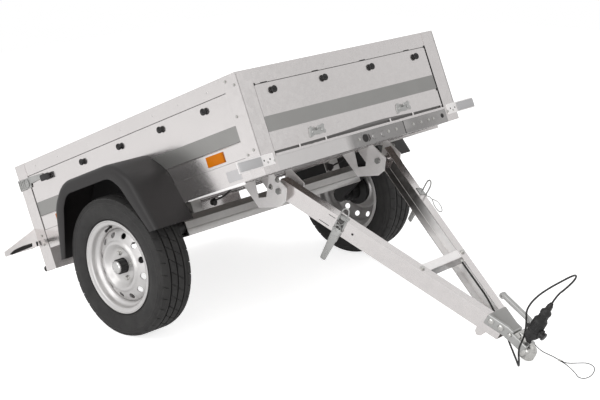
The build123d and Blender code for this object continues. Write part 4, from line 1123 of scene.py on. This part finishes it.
stripes()
seamsAndShadows()
beads()
skirtTrim()
axleFacing()
typePlate()
frontTrim()
beamMarks()
fasteners()
knobs()
print("bed dressed")

lights = {"side": ((490.0, 584.0), (-524.0, -440.0)), "sideRise": (245.0, 284.0),
          "lampOut": (578.5, 690.0), "lampRise": (176.0, 207.0), "lampRear": -752.0}


def reflectors():
    blank = Blank("bed")
    z0, z1 = lights["sideRise"]
    for x0, x1 in lights["side"]:
        blank.block((x0, 555.4, z0), (x1, 560.6, z1), soft=1.4, steps=3)
        blank.block((x0 + 3, 560, z0 + 3), (x1 - 3, 561.4, z1 - 3), soft=0.5)
    blank.done("amber_reflectors", "amber", ["side_reflectors"], both=True)


def frontMarkers():
    blank = Blank("bed")
    blank.block((771, 562.5, 188), (775.6, 672, 221), soft=1.6, steps=3)
    blank.block((775, 566, 191.5), (777, 668.5, 217.5), soft=0.6)
    blank.done("front_markers", "white", ["marker_faces"], both=True)
    pins = bothWays([((771, y, 205), (1, 0, 0)) for y in (520, 549)])
    scattered("marker_pins", "bed", "dome", {"Radius": 0.0032, "Flatness": 0.3}, pins, "rubber")


def rearLamps():
    y0, y1 = lights["lampOut"]
    z0, z1 = lights["lampRise"]
    rear = lights["lampRear"]
    for name, material, solids, low, high in (
            ("lamp_cases", "plastic", ["rear_lamps"], (-736, y0, z0), (-712, y1, z1)),
            ("lamp_red", "red", [], (rear, y0 + 1.5, z0 + 1.5), (-735, y0 + 66, z1 - 1.5)),
            ("lamp_amber", "amber", [], (rear, y0 + 67, z0 + 1.5), (-735, y1 - 1.5, z1 - 1.5))):
        blank = Blank("bed")
        blank.block(low, high, soft=3, steps=3)
        blank.done(name, material, solids, both=True)


reflectors()
frontMarkers()
rearLamps()
print("lamps made")


latch = {"bows": (-712, -700, -688, -676), "gripAlong": (-534, -470), "gripOut": (5.2, 14.6),
         "gripRise": (429, 454), "ribs": 6, "ribStep": 9.6}


def gateLatches():
    blank = Blank("bed")
    out = bed["half"]
    blank.block((-717, out, 422), (-628, out + 3, 466), soft=1.2)
    blank.block((-717, 520, 430), (-712, out + 3, 458), soft=1.0)
    blank.slab([(-634, 437), (-560, 441), (-530, 443), (-530, 461), (-560, 463), (-634, 467)], out + 0.6,
               out + 4.8, across="y", soft=1.2)
    for x in latch["bows"]:
        blank.block((x, out + 1, 420.5), (x + 5, out + 7, 467.5), soft=1.6, steps=3)
    blank.turned([(0, 0), (6, 0), (6, 3), (4.6, 4.6), (0, 5)], steps=24, place=at(-652, out + 2, 444, "y"))
    blank.wire([(-690, out + 4, 462), (-660, out + 6, 463), (-640, out + 6, 458), (-636, out + 6, 444),
                (-640, out + 6, 431), (-660, out + 6, 426), (-690, out + 4, 427)], 2.0)
    blank.done("gate_toggles", "pressing", ["gate_latches"], both=True)
    grip = Blank("bed")
    (x0, x1), (y0, y1), (z0, z1) = latch["gripAlong"], latch["gripOut"], latch["gripRise"]
    grip.block((x0, out + y0, z0), (x1, out + y1, z1), soft=3.2, steps=3)
    for k in range(latch["ribs"]):
        x = x0 + 6 + k * latch["ribStep"]
        grip.block((x, out + y0 - 0.6, z0 - 0.6), (x + 4.6, out + y1 + 0.4, z1 + 0.6), soft=1.2)
    grip.done("toggle_grips", "plastic", ["latch_grips"], both=True)


def catches():
    blank = Blank("bed")
    lobes = [(-45, 243), (-36, 240), (-24, 244), (-10, 246), (10, 243), (26, 247), (41, 244), (45, 252),
             (38, 262), (44, 274), (36, 280), (22, 274), (8, 266), (-4, 262), (-14, 270), (-26, 280),
             (-38, 276), (-42, 262)]
    for middle in (bed["catch"], -bed["catch"]):
        blank.slab([(middle + y, z) for y, z in lobes], 764.6, 768.2, across="x", soft=1.0)
        blank.slab([(765, 263), (765, 270), (776, 272), (780.6, 276), (781, 268), (777, 264)], middle - 9,
                   middle + 9, across="y", soft=1.4)
        for aside, rise in ((-26, 258), (26, 259)):
            blank.turned([(0, 0), (7, 0), (7, 2), (5, 4.6), (0, 5.4)], steps=24,
                         place=at(767.8, middle + aside, rise, "x"))
    blank.done("front_catches", "pressing", ["latch_catches"])


def bumpers():
    blank = Blank("bed")
    outline = [(-712.2, 90)] + circle(12.5, 24, (-722, 77.5))[6:19] + [(-712.2, 65)]
    blank.slab(outline, 516, 556, across="y", soft=3, steps=3)
    blank.done("corner_bumpers", "rubber", ["tail_bumpers"], both=True)


def bracketShade():
    # painted shade in the channel along each lamp bracket, and in the slot at its root
    blank = Blank("bed")
    blank.slab([(590, 199), (594, 184), (700, 175.5), (711, 180), (684, 192), (640, 198)], -710, -708.6,
               across="x")
    blank.slab([(560, 198), (564, 180), (572, 179), (571, 200)], -710, -708.6, across="x")
    blank.done("bracket_windows", "rubber", both=True)


bracketShade()
gateLatches()
catches()
bumpers()
print("latches made")

# the drawbar's arms, from the front beam to where their faces meet
bar = {"slope": 17.255, "meet": 1000.5, "rear": -25.0, "half": 318.5, "latch": 240.0, "clip": 596.0,
       "bolt": 560.0, "sideBolts": (860.0, 898.0), "top": 36.0, "wide": 35.0}


def armFace(along):
    return bar["half"] * (bar["meet"] - along) / (bar["meet"] - bar["rear"])


def armPlace(along):
    # a frame on the outer face of the left arm: x along the arm, y out of it
    return Matrix.Translation((along, armFace(along), 0)) @ spun(-bar["slope"], "Z")


def latchWires(plate, place, spare):
    # two bent wires that cross over the hollow, a ring, a spare loop on its tether, a pin and the long loop
    for way in (-1, 1):
        bend = [(13.5, 33), (10, 24), (-3, 12), (-11, 2), (-9, -12), (2, -20)]
        plate.wire([(way * x, 11.4 + 1.6 * way, z) for x, z in curved(bend, 4)], 1.7, place=place)
    plate.wire([(x, 15.6, z) for x, z in circle(8.5, 18, (-3, 5))], 1.4, closed=True, place=place)
    if spare:
        hoop = [(46, 20, 36), (66, 28, 42), (86, 40, 32), (93, 47, 16), (82, 43, 6), (62, 30, 16),
                (46, 20, 33)]
        plate.wire(curved(hoop, 4), 1.8, place=place)
        plate.wire([(18, 3, 32), (33, 11, 38), (47, 20.5, 34.5)], 2.2, place=place)
    plate.rod(3.4, 0, 42, steps=16, place=place @ at(-21, 8, -12, "x"))
    loop = [(13, 22), (14, 60), (12.4, 78), (7, 88), (0, 91), (-7, 88), (-12.4, 78), (-14, 60), (-13, 22)]
    plate.wire([(x, 8.4, z) for x, z in curved(loop, 4)], 3.0, place=place)


def armLatch(side, tail):
    place = armPlace(bar["latch"])
    plate = Blank("drawbar")
    plate.block((-20, 0.1, -36), (20, 3.6, 36), soft=1.4, place=place)
    plate.block((-20, -24, 36.1), (20, 3.6, 38.6), soft=1.0, place=place)
    plate.slab([(-13, tail + 4), (-15, tail + 60), (-17, -30), (-13, -8), (13, -8), (17, -30),
                (13, tail + 60), (10, tail + 4), (6, tail), (-9, tail)], 8.2, 12, across="y", soft=1.2,
               place=place)
    for x in (-17, 13.4):
        plate.block((x, 3.4, -62), (x + 3.6, 12, -8), soft=1.2, place=place)
    for low in (-22, -9):
        plate.block((-15, 7, low), (15, 13.6, low + 4.6), soft=2.0, steps=3, place=place)
    latchWires(plate, place, side == "left")
    plate.done("arm_toggle_" + side, "pressing", ["arm_latch_" + side], right=side == "right")
    # painted shade: a dark block in the latch's hollow
    hollow = Blank("drawbar")
    hollow.block((-14, 3.4, -34), (14, 6.9, 34), soft=1.0, place=place)
    hollow.rod(5, 0, 30, steps=20, place=place @ at(-15, 8.4, 27, "x"))
    hollow.done("arm_hollow_" + side, "darkJointsAndShade", right=side == "right")


def armPaintedLight():
    # painted reflection and shade: inside each channel, sheets on its web and on the foot of its lower
    # flange, dark at one end and light at the other, a painted highlight along the light edge between them,
    # and the face of the crossbar
    place = armPlace(30)
    blank = Blank("drawbar")
    blank.block((0, -3.7, -32.6), (858, -2.95, 32.6), place=place)
    blank.block((0, -34, -33.1), (792, -3.6, -32.4), place=place)
    blank.done("arm_linings", "webReflection", both=True)
    # painted highlight: a bright zinc wire along each fold
    fold = Blank("drawbar")
    fold.wire([(x, -4.2, -31.8) for x in (2, 430, 850)], 1.1, place=place)
    fold.done("arm_folds", "plate", both=True)
    # painted shade: a thin sheet on the crossbar's face, dark on one side and light on the other
    web = Blank("drawbar")
    web.block((576.9, -127, -9.4), (577.4, 127, 32), soft=0.1, steps=1)
    web.done("crossbar_web", "crossbarShade")


def armMarks():
    dark = Blank("drawbar")
    place = armPlace(bar["latch"])
    dark.block((-80, -0.3, -25), (-37, 0.25, -22.4), place=place)
    dark.block((-56, -0.3, 19), (-27, 0.25, 21.2), place=place)
    dark.rod(5, -0.3, 0.3, steps=20, place=place @ at(57, 0, 2, "y"))
    dark.done("arm_slots", "rubber", both=True)


def barBolts():
    tops = [((bar["bolt"], armFace(bar["bolt"]) - 17, bar["top"]), (0, 0, 1))]
    scattered("bar_bolts", "drawbar", "bolt", boltSize, bothWays(tops), "bolt", sharp=30)
    lean = radians(bar["slope"])
    way = (sin(lean), cos(lean), 0)
    rounds = [((u, armFace(u) + 4.4, 19), way) for u in bar["sideBolts"]]
    scattered("coupler_bolts", "drawbar", "dome", {"Radius": 0.0125, "Flatness": 0.4}, bothWays(rounds),
              "bolt")


coupler = {"rear": 838.0, "neck": 917.75, "ball": 1016.0, "rearHalf": 54.8, "half": 30.0, "low": -6.0,
           "top": 40.3, "neckTop": 32.0, "radius": 31.4, "rise": 2.0, "rim": -18.0}


def couplerPressing():
    rear, neck, ball, wide = (coupler[k] for k in ("rear", "neck", "ball", "rearHalf"))
    half, low, high = coupler["half"], coupler["low"], coupler["top"]
    blank = Blank("drawbar")
    blank.slab([(rear, -wide), (neck, -half), (946, -half), (946, half), (neck, half), (rear, wide)],
               low, high, soft=5, steps=4)
    blank.slab([(930, -29.4), (ball, -29.4), (ball, 29.4), (930, 29.4)], low, coupler["neckTop"], soft=6,
               steps=4)
    blank.done("coupler_pressing", "pressing", ["coupler_housing"])
    top = Blank("drawbar")
    top.slab([(rear + 2, 7 - wide), (neck - 6, -23), (938, -22), (938, 22), (neck - 6, 23),
              (rear + 2, wide - 7)], high - 1, high + 0.9, soft=0.8)
    top.done("coupler_top", "stripe")


def onHead(aside, along, out):
    # a place on the coupler's round head, tipped to its side and along it
    return (Matrix.Translation((coupler["ball"], 0, coupler["rise"])) @ spun(aside, "X") @ spun(along, "Y")
            @ Matrix.Translation((0, 0, out)))


def couplerHead():
    r, rise, rim = coupler["radius"], coupler["rise"], coupler["rim"]
    arch = [(r * cos(a), rise + r * sin(a)) for a in (radians(d) for d in range(0, 91, 9))]
    inner = [(26 * cos(a), rise + 26 * sin(a)) for a in (radians(d) for d in range(90, -1, -9))]
    arch[-1], inner[0] = (0, rise + r), (0, rise + 26)
    outline = [(25.6, rim), (27, rim), (r - 1, rim), (r, rim + 1.2), (r, rim + 6)] + arch
    head = Blank("drawbar")
    head.turned(outline + inner, steps=56, place=at(coupler["ball"], 0, 0), closed=True)
    head.turned([(0, 0), (9, 0), (9, 2), (7.4, 4.4), (4, 5.6), (0, 6)], steps=28,
                place=onHead(58, 12, r - 1.5))
    head.done("coupler_head", "bolt", sharp=50)
    knuckle = Blank("drawbar")
    knuckle.turned([(0, -24), (11, -24), (12, -22.5), (12, 22.5), (11, 24), (0, 24)], steps=36,
                   place=at(962, 0, 36, "y"))
    knuckle.slab([(944, 30), (952, 44), (966, 52), (985, 50), (998, 38), (998, 30)], -19, 19, across="y",
                 soft=5, steps=3)
    for aside, way in ((-29.6, "-y"), (29.6, "y")):
        knuckle.turned([(0, 0), (8.5, 0), (8.5, 2), (6, 5), (0, 6)], steps=28, place=at(938, aside, 20, way))
    knuckle.turned([(0, 0), (6, 0), (6, 8.4), (4.8, 9), (0, 9)], steps=24, place=at(930, 29, 4, "y"))
    knuckle.done("coupler_knuckle", "bolt", sharp=45)
    window = Blank("drawbar")
    window.slab([(9 * x, 4.4 * y) for x, y in circle(1, 24)], -0.6, 1.0, soft=0.4, steps=1,
                place=onHead(34, -8, r))
    window.done("wear_window", "plastic")


def couplerLever():
    ball = coupler["ball"]
    line = [(-41, 40.4), (-16, 40.4), (-31, 94), (-46, 110), (-60, 113.6), (-188, 116.6), (-194, 108),
            (-188, 99.5), (-64, 97), (-58, 92)]
    blank = Blank("drawbar")
    blank.slab([(ball + u, v) for u, v in line], -8.6, 8.6, across="y", soft=3.2, steps=3)
    blank.turned([(5, -9), (11, -9), (11.8, -7), (11.8, 7), (11, 9), (5, 9)], steps=28,
                 place=at(ball - 187, 0, 105, "y"), closed=True)
    blank.done("coupler_handle", "pressing", ["coupler_lever"])


plugSpot = {"along": 1008.0, "aside": -40.0}


def plugAndHolder():
    u, y = plugSpot["along"], plugSpot["aside"]
    body = Blank("drawbar")
    body.turned([(0, 120), (23.6, 120.2), (25.4, 121.6), (25.8, 124), (25.8, 129), (24.2, 130.4),
                 (24.2, 160), (25.6, 161.4), (25.6, 165.4), (24, 167.6), (21.6, 172), (18, 174.2),
                 (17.2, 178), (17.2, 193), (18.2, 196.4), (20, 199), (20, 207), (18.6, 209.4), (14.4, 214),
                 (11.6, 218), (11, 222), (11.8, 223), (11.8, 227), (10.8, 228), (10.6, 232), (11, 233),
                 (11, 236), (9.8, 238), (7, 247), (5.4, 250), (0, 250)], steps=44, place=at(u, y, 0))
    for count, low, high in ((16, (23.4, -1.5, 131), (25.6, 1.5, 160)),
                             (10, (16.6, -1.6, 178), (18.6, 1.6, 195))):
        for k in range(count):
            body.block(low, high, soft=0.7, place=at(u, y, 0) @ Matrix.Rotation(tau * k / count, 4, "Z"))
    plugBody = body.done("plug_body", "plastic", ["plug"])
    cup = Blank("drawbar")
    cup.turned([(0, 88), (19, 88), (22, 89), (23.4, 92), (23.4, 98), (24.6, 99), (24.6, 114), (25, 115),
                (25, 119), (24.4, 120), (0, 120)], steps=44, place=at(u, y, 0))
    cup.block((u - 28, -16, 40.2), (u + 4, -12.6, 118), soft=1.0)
    cup.block((u - 28, -16, 38.6), (u + 4, -2, 41.6), soft=1.0)
    cup.turned([(0, 0), (14, 0), (15.2, 1.2), (15.2, 5), (13.6, 6.4), (13.6, 14), (15, 15.2), (15, 20),
                (13.4, 22), (0, 22)], steps=36, place=at(u + 22, y, 122, "x"))
    cup.block((u + 18, y - 8, 130), (u + 34, y + 8, 140), soft=2.4, steps=3)
    cup.block((u + 20, y - 10, 100), (u + 28, y + 10, 116), soft=2.4, steps=3)
    cup.block((u - 36, y - 5.5, 109), (u - 20, y + 5.5, 120), soft=2.2, steps=3)
    cup.done("plug_parking", "plastic", ["plug_holder"])
    return plugBody


def cableClip():
    along = bar["clip"]
    aside = armFace(along) - bar["wide"] / cos(radians(bar["slope"])) - 5
    place = Matrix.Translation((along, aside, 26.5)) @ spun(-bar["slope"], "Z")
    blank = Blank("drawbar")
    blank.turned([(3.9, -12), (5.6, -12), (6.5, -11), (6.5, -1), (5.6, 0), (3.9, 0)], steps=28,
                 place=place @ towards["x"], closed=True)
    blank.block((-12, 0, 4.5), (0, 17, 6.5), soft=0.5, place=place)
    blank.rod(5, -4.6, 0, steps=6, place=place @ at(-6, 11, 4.5))
    blank.done("cable_loop", "bolt", ["cable_clip"])


armLatch("left", -120)
armLatch("right", -160)
armPaintedLight()
armMarks()
barBolts()
couplerPressing()
couplerHead()
couplerLever()
plugPiece = plugAndHolder()
cableClip()
print("drawbar made")

# floor, light and background
studio = {"floor": 14.0, "ambient": 0.72, "floorSeen": 0.75, "floorMirrored": 0.32,
          "dimWay": (0.8, 0.52, 0.3), "dimmest": 0.69}
# each lamp's place, target, size and power
lamps = {"key": ((-0.6, -4.6, 3.6), (0, 0, 0.4), 2.4, 62.0),
         "bounce": ((1.6, -4.4, 0.9), (0.1, 0, 0.5), 2.6, 58.0),
         "fill": ((4.4, 1.8, 3.0), (0, 0, 0.4), 2.6, 10.0)}


def rays(tree):
    path = put(tree, "ShaderNodeLightPath").outputs
    return maths(tree, "MAXIMUM", path["Is Camera Ray"], path["Is Transmission Ray"]), path["Is Glossy Ray"]


def makeFloor():
    half = studio["floor"] / 2
    mesh = bpy.data.meshes.new("floor")
    mesh.from_pydata([(-half, -half, 0), (half, -half, 0), (half, half, 0), (-half, half, 0)], [],
                     [(0, 1, 2, 3)])
    made = bpy.data.materials.new("floorPaper")
    made.use_nodes = True
    tree = made.node_tree
    tree.nodes.clear()
    seen, mirrored = rays(tree)
    matt = put(tree, "ShaderNodeBsdfDiffuse", {"Color": (0.8, 0.8, 0.8, 1)})
    strength = maths(tree, "ADD", maths(tree, "MULTIPLY", seen, studio["floorSeen"]),
                     maths(tree, "MULTIPLY", mirrored, studio["floorMirrored"]))
    glow = put(tree, "ShaderNodeEmission", {"Color": (1, 1, 1, 1), "Strength": strength})
    both = put(tree, "ShaderNodeAddShader", {0: matt.outputs[0], 1: glow.outputs[0]})
    out = put(tree, "ShaderNodeOutputMaterial")
    tree.links.new(both.outputs[0], out.inputs["Surface"])
    mesh.materials.append(made)
    placed("floor", mesh)


def makeWorld():
    # white to the camera, a little dimmer in mirrors on the side that the nose faces
    world = bpy.data.worlds.new("studio")
    world.use_nodes = True
    tree = world.node_tree
    seen, mirrored = rays(tree)
    way = put(tree, "ShaderNodeTexCoord").outputs["Generated"]
    toward = put(tree, "ShaderNodeVectorMath", {0: way, 1: studio["dimWay"]}, operation="DOT_PRODUCT")
    dim = ranged(tree, toward.outputs["Value"], 0.95, studio["dimmest"], 0.86, 1.0)
    unseen = put(tree, "ShaderNodeMix", {0: mirrored, 2: studio["ambient"], 3: dim}).outputs[0]
    strength = put(tree, "ShaderNodeMix", {0: seen, 2: unseen, 3: 1.0}).outputs[0]
    tree.nodes["Background"].inputs["Color"].default_value = (1, 1, 1, 1)
    tree.links.new(strength, tree.nodes["Background"].inputs["Strength"])
    bpy.context.scene.world = world


def lamp(name, place, target, size, power):
    made = placed(name, bpy.data.lights.new(name, "AREA"))
    made.data.size = size
    made.data.energy = power
    made.location = place
    made.rotation_euler = (Vector(target) - Vector(place)).to_track_quat("-Z", "Y").to_euler()


makeFloor()
makeWorld()
for name, (place, target, size, power) in lamps.items():
    lamp(name, place, target, size, power)
bpy.context.scene.view_settings.view_transform = "Standard"
print("studio lit")
